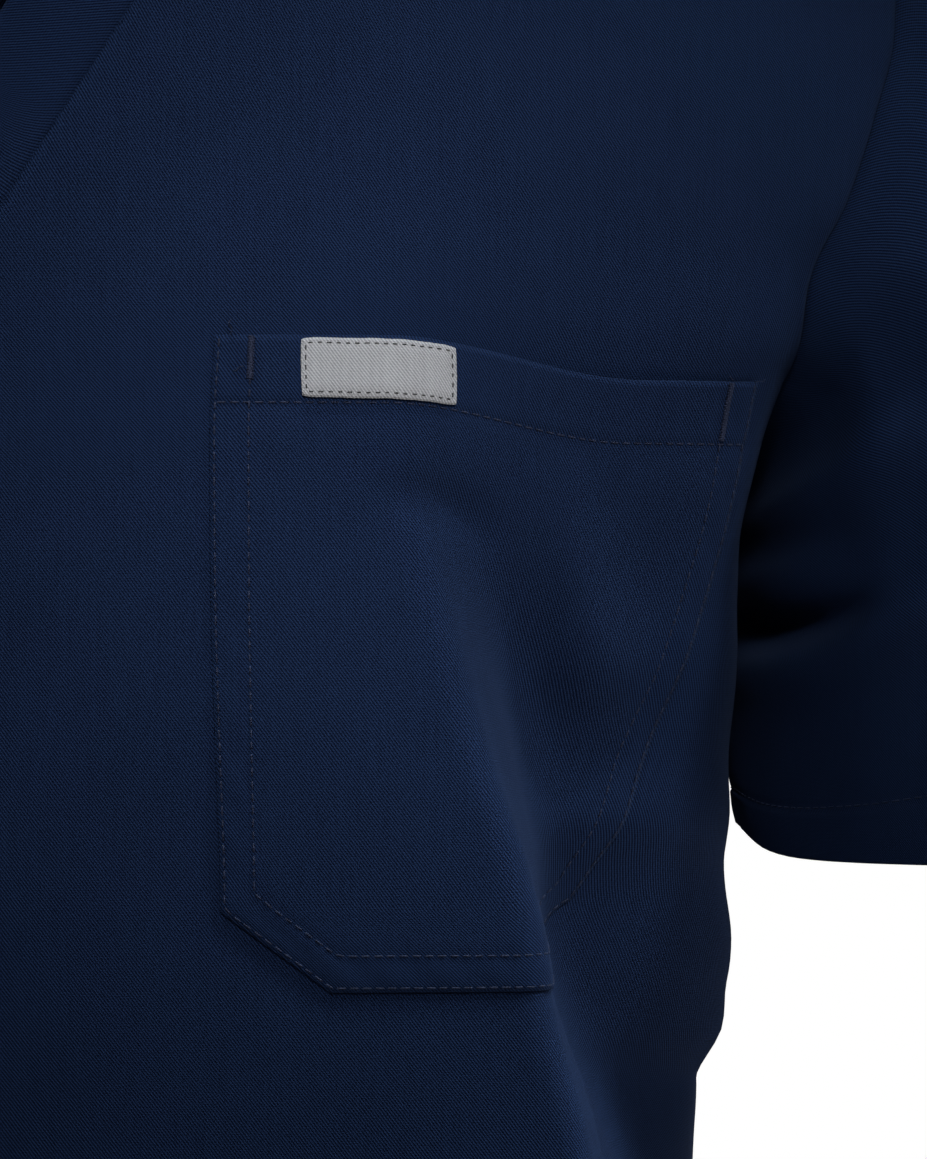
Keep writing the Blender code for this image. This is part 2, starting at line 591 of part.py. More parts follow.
def main():
    for existing in list(bpy.data.objects):
        bpy.data.objects.remove(existing)
    bpy.context.scene.collection.children.link(bpy.data.collections.new("scrubs"))
    front_left, front_right, normals = make_front()
    back_left, back_right = make_back()
    pocket = make_pocket(front_left, normals)
    make_label(pocket)
    make_band(front_left, front_right, back_left, back_right)
    make_sleeve("sleeve_left", front_left, back_left, 1)
    make_sleeve("sleeve_right", front_right, back_right, -1)
    make_legs()
    make_waistband()


main()
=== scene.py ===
"""Looks of the medical scrubs: a navy twill V-neck top over pull-on trousers, worn but with nobody inside.

The cloth is drawn from the same tables as the solids, in millimetres and degrees, on a finer grid. A Surface
keeps, for each point, its distance along the cloth and the height of its row.
"""

from collections import namedtuple

import bpy
import numpy as np
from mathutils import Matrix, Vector


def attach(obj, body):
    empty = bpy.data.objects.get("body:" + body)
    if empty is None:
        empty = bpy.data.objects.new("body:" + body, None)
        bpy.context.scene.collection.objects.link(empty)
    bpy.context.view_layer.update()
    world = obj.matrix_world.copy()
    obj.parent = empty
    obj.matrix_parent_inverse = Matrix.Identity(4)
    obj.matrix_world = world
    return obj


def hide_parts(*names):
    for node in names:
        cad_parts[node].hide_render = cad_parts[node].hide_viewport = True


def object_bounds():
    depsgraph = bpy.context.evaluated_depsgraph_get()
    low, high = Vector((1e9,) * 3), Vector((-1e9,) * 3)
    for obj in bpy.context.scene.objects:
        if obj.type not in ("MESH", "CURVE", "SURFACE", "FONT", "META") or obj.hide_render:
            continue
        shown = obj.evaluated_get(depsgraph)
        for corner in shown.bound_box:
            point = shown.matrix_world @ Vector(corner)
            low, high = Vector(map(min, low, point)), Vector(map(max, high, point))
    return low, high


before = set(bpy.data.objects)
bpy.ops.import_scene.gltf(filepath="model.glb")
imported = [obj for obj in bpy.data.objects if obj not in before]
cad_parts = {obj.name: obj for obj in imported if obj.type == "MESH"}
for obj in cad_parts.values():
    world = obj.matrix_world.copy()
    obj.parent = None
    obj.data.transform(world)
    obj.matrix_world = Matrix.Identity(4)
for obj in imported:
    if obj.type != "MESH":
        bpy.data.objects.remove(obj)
solid_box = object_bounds()

MM = 0.001

# Sizes, in millimetres
CLOTH = 0.8  # the cloth's thickness with its seams
HALF_WIDTH = 280
TOP_LENGTH = 730
BACK_NECK, V_POINT, UNDERARM = -16.3, -225, -268  # heights

POCKET_TOP = -234.6
POCKET_HEM = 15
POCKET_SIDE = 128
POCKET_HEIGHT = 146
POCKET_NEAR, POCKET_FAR = 60, 192
POCKET_CUT = 24.5  # width of a cut corner
POCKET_LIFT = 1.05  # the pocket's face above the front's, at its flattest

LABEL_NEAR, LABEL_FAR = 79, 113.7
LABEL_TOP, LABEL_BOTTOM = -235.3, -248.4

BAND_WIDTH = 24
BAND_LIFT = 0.45  # how steeply it stands up behind the neck
BAND_POINT = -178  # height of its inner edge's V
MITRE_REACH = 46

RIDGE_WIDTH = 24
CREST_WIDTH = 13  # the cloth turns over the fold more sharply than its solid
CREST_SHIFT = -2  # and sooner, by twice as much above these two heights as below them
CREST_LOW, CREST_HIGH = -352, -325
VALLEY_WIDTH = 25
CORNER_RUN = 4
LONGEST = 300

ROLL_WIDTH, ROLL_DEPTH = 3.0, 0.9  # how the cloth dips into a seam
TOP_HEM, SLEEVE_HEM, LEG_HEM = 20, 22, 25
TWIN_ROWS = (1.0, 8.1)  # the two rows of the pocket's stitching, in from its edge
BARTACKS = ((POCKET_NEAR + TWIN_ROWS[1], 9.8), (POCKET_FAR - TWIN_ROWS[1], 14.0))  # place and length
STITCH_PITCH = 2.8
SHOULDER_ROW = 5.0  # from the shoulder's seam to the row of stitches beside it
WANDER_REACH = 18
# How far the pocket's near side wanders from its line, by height
POCKET_WANDER = [(-381, 1.3), (-360, 1.3), (-327, 0.2), (-294, -0.9), (-256, -1.3), (-234, -0.2)]


def table(row_type, *rows):
    return [row_type(*row) for row in rows]


# The form, as the solids have it: where each row of the top's cloth lies, and how it folds

Cut = namedtuple("Cut", "height front back drop start end front_neck back_neck front_edge back_edge")
CUTS = table(
    Cut,
    (13.5, -0.1, -0.1, 75, 0, 300, 106, 106, 232, 232),
    (13.1, 9, 9, 75.6, 0, 300, 105.8, 105.3, 231.5, 231.5),
    (10.6, 24, 24, 79, 0, 300, 105, 101, 230, 230),
    (0.6, 46, 46, 86, 0, 300, 102.5, 82, 227, 226),
    (-7.5, 56, 57, 88, 0, 300, 100.5, 61, 225.5, 223.5),
    (-13.5, 63.5, 63.5, 89.5, 0, 300, 98.8, 36, 224.4, 222.1),
    (BACK_NECK, 67, 66, 90, 0, 300, 98, 0, 224, 221.5),
    (-41.4, 87, 80, 86, 0, 300, 91, 0, 222, 217),
    (-71.4, 105.5, 93, 79, 0, 300, 81, 0, 221, 214),
    (-104.5, 122, 104, 68, 0, 300, 67, 0, 221, 212),
    (-140.7, 134, 111, 50, 0, 300, 50, 0, 217, 211),
    (-176.8, 139.8, 115, 32, 0, 300, 29.5, 0, 211, 211),
    (-206.9, 143, 117, 16, 40, 250, 11, 0, 205, 213),
    (V_POINT, 144.8, 118, 10, 80, 200, 0, 0, 209, 218),
    (-234.6, 145.7, 118.5, 8.5, 98, 160, 0, 0, 217, 223),
    (-249.6, 147, 119, 8, 98, 160, 0, 0, 243, 241),
    (-259, 147.8, 119, 7.5, 98, 160, 0, 0, 262, 258),
    (UNDERARM, 148.5, 119, 7, 98, 160, 0, 0, 280, 280),
    (-300, 150.9, 117, 5, 98, 160, 0, 0, 280, 280),
    (-340, 153, 114, 2.5, 98, 160, 0, 0, 280, 280),
    (-381, 154, 112, 0, 98, 160, 0, 0, 280, 280),
    (-500, 151, 112, 0, 98, 160, 0, 0, 280, 280),
    (-600, 147, 118, 0, 98, 160, 0, 0, 281, 281),
    (-TOP_LENGTH, 145, 123, 0, 98, 160, 0, 0, 284, 284),
)

Fold = namedtuple("Fold", "height ridge lead turn hold open corner facing round side")
LEFT_FOLD = table(
    Fold,
    (13.5, 107, 0, 0, 20, 0, 190, 0, 240, 0),
    (10.6, 107, 0, 1, 20, 3, 190, 5, 240, 8),
    (0.6, 107, 1, 2, 20, 5, 190, 9, 240, 14),
    (-16.3, 107, 1, 3, 20, 6, 190, 12, 240, 20),
    (-41.4, 107, 1, 4, 20, 8, 190, 15, 240, 26),
    (-71.4, 107, 2, 5, 20, 9, 190, 17, 240, 32),
    (-104.5, 107, 2, 6, 20, 11, 190, 20, 240, 40),
    (-140.7, 107, 3, 8, 20, 14, 190, 23, 240, 48),
    (-176.8, 107, 4, 11, 20, 18, 190, 26, 240, 58),
    (-206.9, 107, 5, 16, 20, 21, 187, 31, 226, 72),
    (-225, 107, 6, 21, 20, 23, 187, 33, 219, 82),
    (-234.6, 107, 7, 25, 20, 24, 187, 35, 215, 90),
    (-249.6, 107, 7, 30, 18, 25, 187, 38, 210, 91),
    (UNDERARM, 107, 8, 38, 15, 25, 187, 38, 208, 92),
    (-285, 110.5, 8, 50, 12, 25, 187, 36, 215, 93),
    (-301.5, 115, 8, 62, 10, 25, 188, 34, 224, 94),
    (-318, 120, 8, 73, 12, 26, 189, 31, 234, 94),
    (-340, 126, 8, 82, 15, 28, 192, 31, 245, 94),
    (-355, 130, 8, 87, 23, 28, 199, 30, 254, 94),
    (-366, 133, 8, 90, 28, 26, 205, 28, 264, 94),
    (-381, 136, 8, 90, 33, 27, 211, 29, 276, 94),
    (-395, 139, 8, 89, 38, 34, 219, 36, 279, 94),
    (-410, 143, 8, 87, 43, 52, 230, 56, 272, 94),
    (-430, 147, 8, 84, 43, 58, 236, 66, 270, 94),
    (-466, 153, 8, 80, 41, 63, 241, 69, 272, 93),
    (-550, 161, 7, 72, 33, 56, 241, 64, 275, 92),
    (-650, 166, 6, 64, 24, 52, 238, 61, 277, 92),
    (-TOP_LENGTH, 168, 6, 60, 20, 50, 236, 60, 278, 91),
)
RIGHT_FOLD = LEFT_FOLD[:13] + table(
    Fold,
    (UNDERARM, 111, 8, 34, 16, 26, 187, 39, 210, 92),
    (-300, 118, 8, 48, 14, 27, 188, 38, 217, 93),
    (-340, 128, 8, 63, 16, 32, 191, 42, 234, 93),
    (-381, 137, 7, 72, 22, 42, 204, 51, 252, 93),
    (-430, 146, 7, 76, 28, 51, 224, 59, 264, 93),
    (-500, 155, 7, 72, 26, 53, 232, 60, 271, 92),
    (-600, 162, 6, 64, 22, 51, 232, 60, 275, 92),
    (-TOP_LENGTH, 164, 6, 58, 18, 48, 232, 58, 278, 91),
)
BACK_FOLD = LEFT_FOLD[:8] + table(
    Fold,
    (-176.8, 100, 4, 10, 22, 17, 188, 26, 236, 62),
    (-206.9, 100, 4, 12, 22, 20, 188, 30, 232, 76),
    (-249.6, 101, 4, 18, 22, 22, 188, 36, 228, 88),
    (UNDERARM, 102, 4, 22, 22, 23, 190, 38, 228, 90),
    (-340, 108, 5, 40, 22, 30, 194, 42, 240, 91),
    (-420, 116, 6, 52, 24, 38, 202, 50, 255, 91),
    (-500, 123, 6, 54, 24, 42, 206, 54, 262, 91),
    (-600, 128, 5, 48, 24, 42, 206, 54, 266, 91),
    (-TOP_LENGTH, 131, 4, 42, 24, 42, 206, 54, 268, 91),
)

ARM = (0.10, -0.03, -1)
HEM_CENTRE = (250, -12, -356)
HEM_HALF_WIDTH, HEM_HALF_DEPTH = 67, 76
HEM_LIFT = 7
SLEEVE_START, SLEEVE_END = 0.55, 0.60
SLEEVE_SLOPE = 0.32

Leg = namedtuple("Leg", "height inner_x inner_y outer_x outer_y out inner_pull outer_pull")
WAIST_TOP, WAIST_SEAM, CROTCH, TROUSER_HEM = -418, -456, -722, -1440
FRONT_LEG = table(
    Leg,
    (WAIST_SEAM, 0, -104, 150, 0, 0, 84, 58),
    (-540, 0, -116, 165, 0, 0, 92, 64),
    (-610, 0, -114, 176, 0, 6, 92, 66),
    (-660, 0, -98, 180, 0, 26, 84, 74),
    (-700, 0, -64, 182, 0, 60, 76, 98),
    (-716, 0, -28, 182, 0, 80, 112, 124),
    (CROTCH, 0, 4, 182, 0, 92, 142, 138),
    (-760, 10, 5, 181, 0, 92, 138, 134),
    (-860, 24, 6, 179, 0, 90, 122, 122),
    (-980, 32, 4, 177, 0, 90, 112, 112),
    (-1200, 40, 6, 180, 2, 90, 96, 96),
    (TROUSER_HEM, 44, 4, 186, 2, 90, 104, 104),
)
BACK_LEG = table(
    Leg,
    (WAIST_SEAM, 0, 92, 150, 0, 0, 84, 50),
    (-540, 0, 104, 165, 0, 0, 92, 58),
    (-610, 0, 116.7, 176, 0, 4, 94, 64),
    (-660, 0, 108, 180, 0, 20, 88, 76),
    (-700, 0, 82, 182, 0, 52, 74, 100),
    (-716, 0, 46, 182, 0, 76, 94, 126),
    (CROTCH, 0, 4, 182, 0, 92, 138, 138),
    (-760, 10, 5, 181, 0, 92, 136, 134),
    (-860, 24, 6, 179, 0, 90, 122, 120),
    (-980, 32, 4, 177, 0, 90, 108, 108),
    (-1200, 40, 6, 180, 2, 90, 110, 110),
    (TROUSER_HEM, 44, 4, 186, 2, 90, 104, 104),
)

# Creases, listed one by one. Each runs from one place on the cloth to another, bows aside by bow on its way,
# and pushes the cloth out by depth, or in if that is negative. width is on its steeper side, and lean makes
# the other side wider. across is the distance from the centre line, less than 0 on the wearer's right.
Crease = namedtuple("Crease", "across height across_end height_end depth width bow lean")
FRONT_CREASES = table(
    Crease,
    (95, -269, 131, -277, -1.8, 4.5, -2.3, 0.3),  # the dark arch over the fold's start
    (110, -264, 176, -334, -3.0, 10, 2, 0.3),  # the trough behind the ridge
    (140, -258, 180, -322, 4.0, 10, 2, 0.3),  # the soft band behind the trough
    (222, -268, 268, -412, 3.8, 17, 0, 0.3),  # the side's swell under the sleeve
    (262, -390, 260, -436, 5.2, 16, 0, 0.3),  # and where it ends
    (152, -384, 170, -436, 1.6, 10, -2, 0.5),
    (20, -300, 60, -470, 1.0, 34, 12, 0.4),
    (205, -215, 150, -246, 0.8, 12, 4, 0.3),
    (36, -500, 64, -900, 4.5, 24, 6, 0.4),
    (92, -470, 120, -880, -4.0, 22, -6, 0.4),
    (200, -540, 216, -860, 4.0, 15, 5, 0.3),
    (252, -600, 240, -860, -3.5, 14, 3, 0.3),
    (-8, -560, -24, -880, -4.0, 20, 4, 0.4),
    (-56, -470, -84, -900, 4.8, 24, -6, 0.4),
    (-116, -520, -132, -860, -3.8, 18, 4, 0.4),
    (-194, -520, -208, -880, 4.0, 16, -4, 0.3),
    (-196, -232, -112, -304, -4.0, 13, 9, 0.5),
    (-186, -258, -132, -326, 3.4, 11, 6, 0.5),
    (-216, -300, -150, -360, -3.0, 10, 5, 0.4),
    (-214, -330, -120, -420, 2.4, 12, 8, 0.4),
    (-24, -240, -96, -276, 1.6, 14, 5, 0.3),
    (-250, -380, -204, -490, 3.2, 13, 8, 0.4),
    (246, -470, 204, -580, -3.2, 13, 6, 0.4),
    (120, -470, 30, -520, 2.2, 15, 8, 0.4),
)
BACK_CREASES = table(
    Crease,
    (-156, -244, -72, -344, -4.4, 16, 12, 0.4),
    (-176, -228, -112, -296, 3.6, 12, 8, 0.4),
    (152, -238, 84, -356, -4.0, 15, -11, 0.4),
    (182, -230, 122, -304, 3.4, 12, -8, 0.4),
    (-112, -426, 36, -446, -5.0, 13, 11, 0.5),
    (-48, -468, 104, -446, 4.6, 12, -10, 0.5),
    (-104, -492, 24, -506, 3.4, 12, 9, 0.4),
    (30, -418, 124, -398, -3.6, 11, -6, 0.4),
    (-20, -396, -110, -376, 2.6, 12, 6, 0.4),
    (-30, -110, -42, -280, 2.2, 24, 6, 0.3),
    (44, -100, 56, -270, 2.2, 24, -6, 0.3),
    (-66, -540, -88, -900, 5.0, 24, 6, 0.4),
    (-8, -580, 8, -880, -4.4, 22, -4, 0.4),
    (64, -520, 80, -900, 4.8, 24, 6, 0.4),
    (-204, -540, -214, -860, 3.8, 15, 3, 0.3),
    (206, -560, 218, -860, 4.0, 15, 4, 0.3),
    (-240, -320, -196, -430, -3.4, 12, 7, 0.4),
    (238, -340, 190, -450, -3.4, 12, -7, 0.4),
)
# On the front of a sleeve across is x from the wearer's middle and height is true, as seen from in front.
SLEEVE_CREASES = table(
    Crease,
    (172, -306, 214, -293, -6.0, 4.0, 2, 0.6),  # the deep fold at the bend of the arm
    (170, -316, 230, -291, 4.2, 6, 3, 0.6),  # the lip under it
    (176, -292, 206, -284, 4.0, 5.5, 1, 0.4),
    (172, -286, 220, -250, 4.6, 6, 2, 0.4),  # the light diagonal
    (186, -256, 222, -222, -3.2, 9, 2, 0.5),
    (228, -240, 262, -180, 2.2, 14, 4, 0.4),
    (222, -296, 296, -326, -3.2, 12, 6, 0.4),
    (236, -268, 300, -290, 2.8, 12, 6, 0.4),
)
# Round a sleeve's back and outside across is the share of the way round from the underarm, and height the
# share of the way down.
SLEEVE_BACK_CREASES = table(
    Crease,
    (0.78, 0.20, 0.92, 0.62, 5.0, 0.05, 0.02, 0.4),
    (0.64, 0.46, 0.90, 0.84, -4.6, 0.05, 0.03, 0.4),
    (0.58, 0.16, 0.74, 0.40, -3.0, 0.05, 0.02, 0.3),
    (0.46, 0.60, 0.64, 0.90, 3.0, 0.06, 0.02, 0.3),
    (0.40, 0.20, 0.47, 0.56, -2.6, 0.05, 0.02, 0.3),
    (0.44, 0.30, 0.56, 0.66, 2.2, 0.05, -0.02, 0.3),
)
# On a sleeve's inner side across is the same share, and less than 0 behind the underarm.
SLEEVE_INNER_CREASES = table(
    Crease,
    (0.02, 0.05, 0.02, 0.98, 4.2, 0.09, 0, 0.2),  # it lies against the body
)
# On the trousers across is the distance from the inner seam.
LEG_FRONT_CREASES = table(
    Crease,
    (12, -712, 110, -676, -5.0, 13, 8, 0.5),
    (12, -738, 124, -726, 4.6, 13, 10, 0.5),
    (8, -768, 96, -800, -4.2, 12, 8, 0.5),
    (204, -752, 118, -836, 3.6, 16, 8, 0.4),
    (96, -830, 116, -1340, 4.2, 30, 8, 0.3),
    (14, -1000, 124, -990, 4.4, 13, 10, 0.5),
    (200, -1044, 84, -1026, -4.8, 13, -10, 0.5),
    (10, -1076, 104, -1096, -4.0, 12, 8, 0.5),
    (160, -1100, 76, -1130, 3.0, 14, -8, 0.4),
    (24, -1306, 160, -1292, -4.4, 13, 9, 0.5),
    (190, -1338, 60, -1352, 5.2, 13, -9, 0.5),
    (16, -1384, 140, -1376, -4.8, 12, 7, 0.5),
    (196, -1400, 96, -1412, 3.6, 11, 5, 0.4),
)
LEG_BACK_CREASES = table(
    Crease,
    (16, -720, 132, -704, 5.2, 14, -9, 0.5),
    (10, -754, 140, -762, -5.2, 14, 10, 0.5),
    (20, -796, 120, -826, 3.8, 14, 8, 0.4),
    (100, -840, 108, -1340, 4.0, 30, -8, 0.3),
    (12, -1002, 146, -1018, -5.2, 13, 11, 0.5),
    (196, -1040, 48, -1054, 5.2, 13, -11, 0.5),
    (18, -1086, 132, -1082, -4.4, 12, 8, 0.5),
    (194, -1120, 90, -1130, 3.4, 14, -8, 0.4),
    (200, -1322, 44, -1338, -5.0, 13, 9, 0.5),
    (14, -1368, 164, -1360, 5.2, 12, -8, 0.5),
    (190, -1396, 70, -1404, -4.2, 12, 6, 0.5),
)

Surface = namedtuple("Surface", "points normals distances heights")


def smooth_curve(xs, ys, x):
    """The smooth curve through the points (xs, ys), read at x. It never overshoots a point."""
    xs, ys = np.asarray(xs, float), np.asarray(ys, float)
    step = np.diff(xs)
    slope = np.diff(ys) / step
    before, after = slope[:-1], slope[1:]
    weight_before, weight_after = 2 * step[1:] + step[:-1], step[1:] + 2 * step[:-1]
    turning = before * after <= 0
    safe_before, safe_after = np.where(turning, 1, before), np.where(turning, 1, after)
    mean = (weight_before + weight_after) / (weight_before / safe_before + weight_after / safe_after)
    tangent = np.concatenate([[slope[0]], np.where(turning, 0, mean), [slope[-1]]])
    i = np.clip(np.searchsorted(xs, x, side="right") - 1, 0, len(step) - 1)
    t = np.clip((x - xs[i]) / step[i], 0, 1)
    rise = ys[i] + step[i] * t * (1 - t) ** 2 * tangent[i] - step[i] * t**2 * (1 - t) * tangent[i + 1]
    return rise + (ys[i + 1] - ys[i]) * t**2 * (3 - 2 * t)


def read(rows, height):
    """The row of a table at any height, each column read from its smooth curve."""
    rows = sorted(rows)
    heights = [row.height for row in rows]
    return type(rows[0])(*(float(smooth_curve(heights, column, height)) for column in zip(*rows)))


def soft_step(t):
    t = np.clip(t, 0, 1)
    return t * t * (3 - 2 * t)


def unit(v):
    return v / np.maximum(np.linalg.norm(v, axis=-1, keepdims=True), 1e-12)


def relief(creases, across, height):
    """How far the creases push the cloth out at each place."""
    total = np.zeros(np.broadcast(across, height).shape)
    for crease in creases:
        run = np.array([crease.across_end - crease.across, crease.height_end - crease.height])
        length = np.hypot(*run)
        along = ((across - crease.across) * run[0] + (height - crease.height) * run[1]) / length**2
        aside = ((across - crease.across) * run[1] - (height - crease.height) * run[0]) / length
        reach = np.clip(along, 0, 1)
        aside = aside - crease.bow * np.sin(np.pi * reach)
        width = crease.width * (1 + crease.lean * soft_step(0.5 + aside / crease.width))
        fade = np.sin(np.pi * np.clip(along * 0.9 + 0.05, 0, 1)) ** 1.2
        total += crease.depth * fade * np.exp(-((aside / width) ** 2))
    return total


def unevenness(across, height, wavelength, amount, seed):
    """Soft waves in all directions, so that no stretch of cloth is quite flat."""
    random = np.random.default_rng(seed)
    waves, total = 7, 0
    for _ in range(waves):
        angle, start = random.uniform(0, 2 * np.pi, 2)
        turn = 2 * np.pi / (wavelength * random.uniform(0.7, 1.5))
        total = total + np.sin(turn * (across * np.cos(angle) + height * np.sin(angle)) + start)
    return amount * total / waves


def panel_relief(across, height, back=False):
    """Creases and unevenness of the front or back. The front is looser below and on the wearer's right."""
    if back:
        return relief(BACK_CREASES, across, height) + 2 * unevenness(across, height, 80, 1, 11)
    low, right = soft_step((-430 - height) / 120), soft_step((-across - 10) / 80)
    loose = 0.5 + 1.8 * low + right
    return relief(FRONT_CREASES, across, height) + loose * unevenness(across, height, 70, 1, 5)


def seam_roll(distance):
    """How far the cloth dips at that distance from a seam."""
    return -ROLL_DEPTH * (1 - np.clip(distance / ROLL_WIDTH, 0, 1)) ** 2


def grid_normals(points, outwards, closed=False):
    """Normals of a grid of points, outwards being 1 or -1."""
    if closed:
        around = np.roll(points, -1, axis=1) - np.roll(points, 1, axis=1)
    else:
        around = np.gradient(points, axis=1)
    return outwards * unit(np.cross(np.gradient(points, axis=0), around))


# The top's front and back


def plan(fold, distances):
    """Where the cloth of a row lies in plan, across and away from its centre, at distances along it."""
    high = soft_step((fold.height - CREST_LOW) / (CREST_HIGH - CREST_LOW))
    crest = fold.ridge + CREST_SHIFT * (1 + high)
    turned = fold.ridge + RIDGE_WIDTH / 2
    opened = turned + fold.hold + VALLEY_WIDTH
    knots = [
        (0, 0),
        (crest - CREST_WIDTH / 2, fold.lead),
        (crest + CREST_WIDTH / 2, fold.turn),
        (turned + fold.hold, fold.turn),
        (opened, fold.open),
        (max(fold.corner, opened + CORNER_RUN), fold.facing),
        (fold.round, fold.side),
        (LONGEST, fold.side),
    ]
    fine = np.linspace(0, LONGEST, LONGEST + 1)
    way = np.radians(smooth_curve(*zip(*knots), fine))
    middle = (way[1:] + way[:-1]) / 2
    across = np.concatenate([[0], np.cumsum(np.cos(middle))])
    away = np.concatenate([[0], np.cumsum(np.sin(middle))])
    return np.interp(distances, fine, across), np.interp(distances, fine, away)


def row_height(cut, distances):
    return cut.height - cut.drop * soft_step((np.asarray(distances) - cut.start) / (cut.end - cut.start))


def column_distances(columns, neck, edge):
    """Where a row's columns lie: two of them at the pocket's sides, as far as the row reaches."""
    near = max(POCKET_NEAR, neck + 0.2 * (edge - neck))
    far = min(POCKET_FAR, edge - 18)
    return np.interp(columns, [0, POCKET_NEAR, POCKET_FAR, HALF_WIDTH], [neck, near, far, edge])


def front_row(height, distances, folds, side):
    cut = read(CUTS, height)
    across, away = plan(read(folds, height), distances)
    return np.stack([side * across, away - cut.front, row_height(cut, distances)], axis=-1)


def back_row(height, distances, side):
    """A row of the back, stretched a little so that it ends where the front's does."""
    cut, reach = read(CUTS, height), read(CUTS, min(height, UNDERARM))
    front_end = plan(read(LEFT_FOLD if side > 0 else RIGHT_FOLD, reach.height), [reach.front_edge])
    back_end = plan(read(BACK_FOLD, reach.height), [reach.back_edge])
    fit_start = -200
    fit = soft_step((fit_start - height) / (fit_start - UNDERARM))
    wider = 1 + fit * (front_end[0][0] / back_end[0][0] - 1)
    deeper = 1 + fit * ((reach.front + reach.back - front_end[1][0]) / back_end[1][0] - 1)
    across, away = plan(read(BACK_FOLD, height), distances)
    return np.stack([side * wider * across, cut.back - deeper * away, row_height(cut, distances)], axis=-1)


def fine_heights():
    """Heights of the rows: close together where the shoulder curves and over the pocket and the fold."""
    heights = [CUTS[0].height]
    for upper, lower in zip(CUTS, CUTS[1:]):
        run = np.hypot(lower.front - upper.front, lower.height - upper.height)
        spacing = 2.6 if -440 < upper.height < -200 else 4.4
        steps = max(1, round(run / spacing))
        heights += list(np.linspace(upper.height, lower.height, steps + 1)[1:])
    return np.array(heights)


def spaced(*stretches):
    """Distances from stretches of (start, end, spacing)."""
    found = [stretches[0][0]]
    for start, end, spacing in stretches:
        found += list(np.linspace(start, end, max(1, round((end - start) / spacing)) + 1)[1:])
    return np.array(found)


HEIGHTS = fine_heights()
V_POINT_ROW, BACK_NECK_ROW, UNDERARM_ROW = (
    int(np.argmin(abs(HEIGHTS - height))) for height in (V_POINT, BACK_NECK, UNDERARM)
)
INNER_COLUMN, SEAM_COLUMNS = 273.5, (276.4, 278.4, 279.4, HALF_WIDTH)
LEFT_COLUMNS = spaced((0, POCKET_NEAR, 4.6), (POCKET_NEAR, POCKET_FAR, 2.4), (POCKET_FAR, INNER_COLUMN, 3))
RIGHT_COLUMNS = spaced((0, 80, 5.5), (80, INNER_COLUMN, 4.2))
BACK_COLUMNS = spaced((0, INNER_COLUMN, 5.2))


def panel_half(columns, side, back=False):
    """Half of the front or back, with its creases, its seams' dips and its hem."""
    columns = np.append(columns, SEAM_COLUMNS)
    folds = LEFT_FOLD if side > 0 else RIGHT_FOLD
    outwards = -side if back else side
    points, distances, from_edge = [], [], []
    for height in HEIGHTS:
        cut = read(CUTS, height)
        neck, edge = (cut.back_neck, cut.back_edge) if back else (cut.front_neck, cut.front_edge)
        row = column_distances(columns, neck, edge)
        points.append(back_row(height, row, side) if back else front_row(height, row, folds, side))
        distances.append(row)
        from_edge.append(edge - row)
    points, distances, from_edge = np.array(points), np.array(distances), np.array(from_edge)
    normals = grid_normals(points, outwards)
    rows = HEIGHTS[:, None]
    across = side * distances
    push = panel_relief(across, rows, back)
    calm = soft_step((from_edge - 4) / 20) * soft_step((CUTS[0].height - rows) / 60)
    push = push * calm + seam_roll(from_edge) + hem_relief(rows + TOP_LENGTH, TOP_HEM, across)
    push[0] -= ROLL_DEPTH / 2
    points = points + push[..., None] * normals
    return Surface(points, grid_normals(points, outwards), distances, HEIGHTS)


def hem_relief(above, depth, across):
    """A hem is a little thicker than the cloth over it, and ropes slightly along its stitching."""
    fold = 0.35 * soft_step((depth - above) / 2.5)
    groove = -0.30 * np.exp(-(((above - depth) / 1.6) ** 2))
    middle, reach = depth * 0.6, depth * 0.5
    roping = 0.16 * np.sin(across / 2.9 + above * 0.22) * np.exp(-(((above - middle) / reach) ** 2))
    return fold + groove + roping


# Meshes and materials


def socket(node, name, value):
    node.inputs[name].default_value = value


def new_material(name, roughness):
    material = bpy.data.materials.new(name)
    material.use_nodes = True
    tree = material.node_tree
    shader = tree.nodes["Principled BSDF"]
    socket(shader, "Roughness", roughness)
    return material, tree, shader


def maths(tree, operation, *values):
    """A Math node. Each value is a number or an output."""
    node = tree.nodes.new("ShaderNodeMath")
    node.operation = operation
    for place, value in zip(node.inputs, values):
        if isinstance(value, (int, float)):
            place.default_value = value
        else:
            tree.links.new(value, place)
    return node.outputs[0]


def weighted_sum(tree, *terms):
    """The sum of terms, each an output and its weight, or a number."""
    found = None
    for term in terms:
        value = maths(tree, "MULTIPLY", *term) if isinstance(term, tuple) else term
        found = value if found is None else maths(tree, "ADD", found, value)
    return found


def ripple(tree, place, rate):
    """A wave along place, which turns by rate radians a millimetre."""
    return maths(tree, "SINE", maths(tree, "MULTIPLY", place, rate))


def noise(tree, vector, scale, detail=2.0):
    node = tree.nodes.new("ShaderNodeTexNoise")
    tree.links.new(vector, node.inputs["Vector"])
    socket(node, "Scale", scale)
    socket(node, "Detail", detail)
    return node.outputs["Fac"]


def blend_colours(tree, factor, dark, light):
    node = tree.nodes.new("ShaderNodeMix")
    node.data_type = "RGBA"
    node.inputs[6].default_value = (*dark, 1)
    node.inputs[7].default_value = (*light, 1)
    tree.links.new(factor, node.inputs[0])
    return node.outputs[2]


def cloth_coordinates(tree, name):
    """The place on the cloth in millimetres, across and along the grain, as a vector and two numbers."""
    place = tree.nodes.new("ShaderNodeUVMap")
    place.uv_map = name
    parts = tree.nodes.new("ShaderNodeSeparateXYZ")
    tree.links.new(place.outputs[0], parts.inputs[0])
    return place.outputs[0], parts.outputs[0], parts.outputs[1]


RIB_ACROSS, RIB_ALONG = 0.80, 0.60  # the direction across a rib


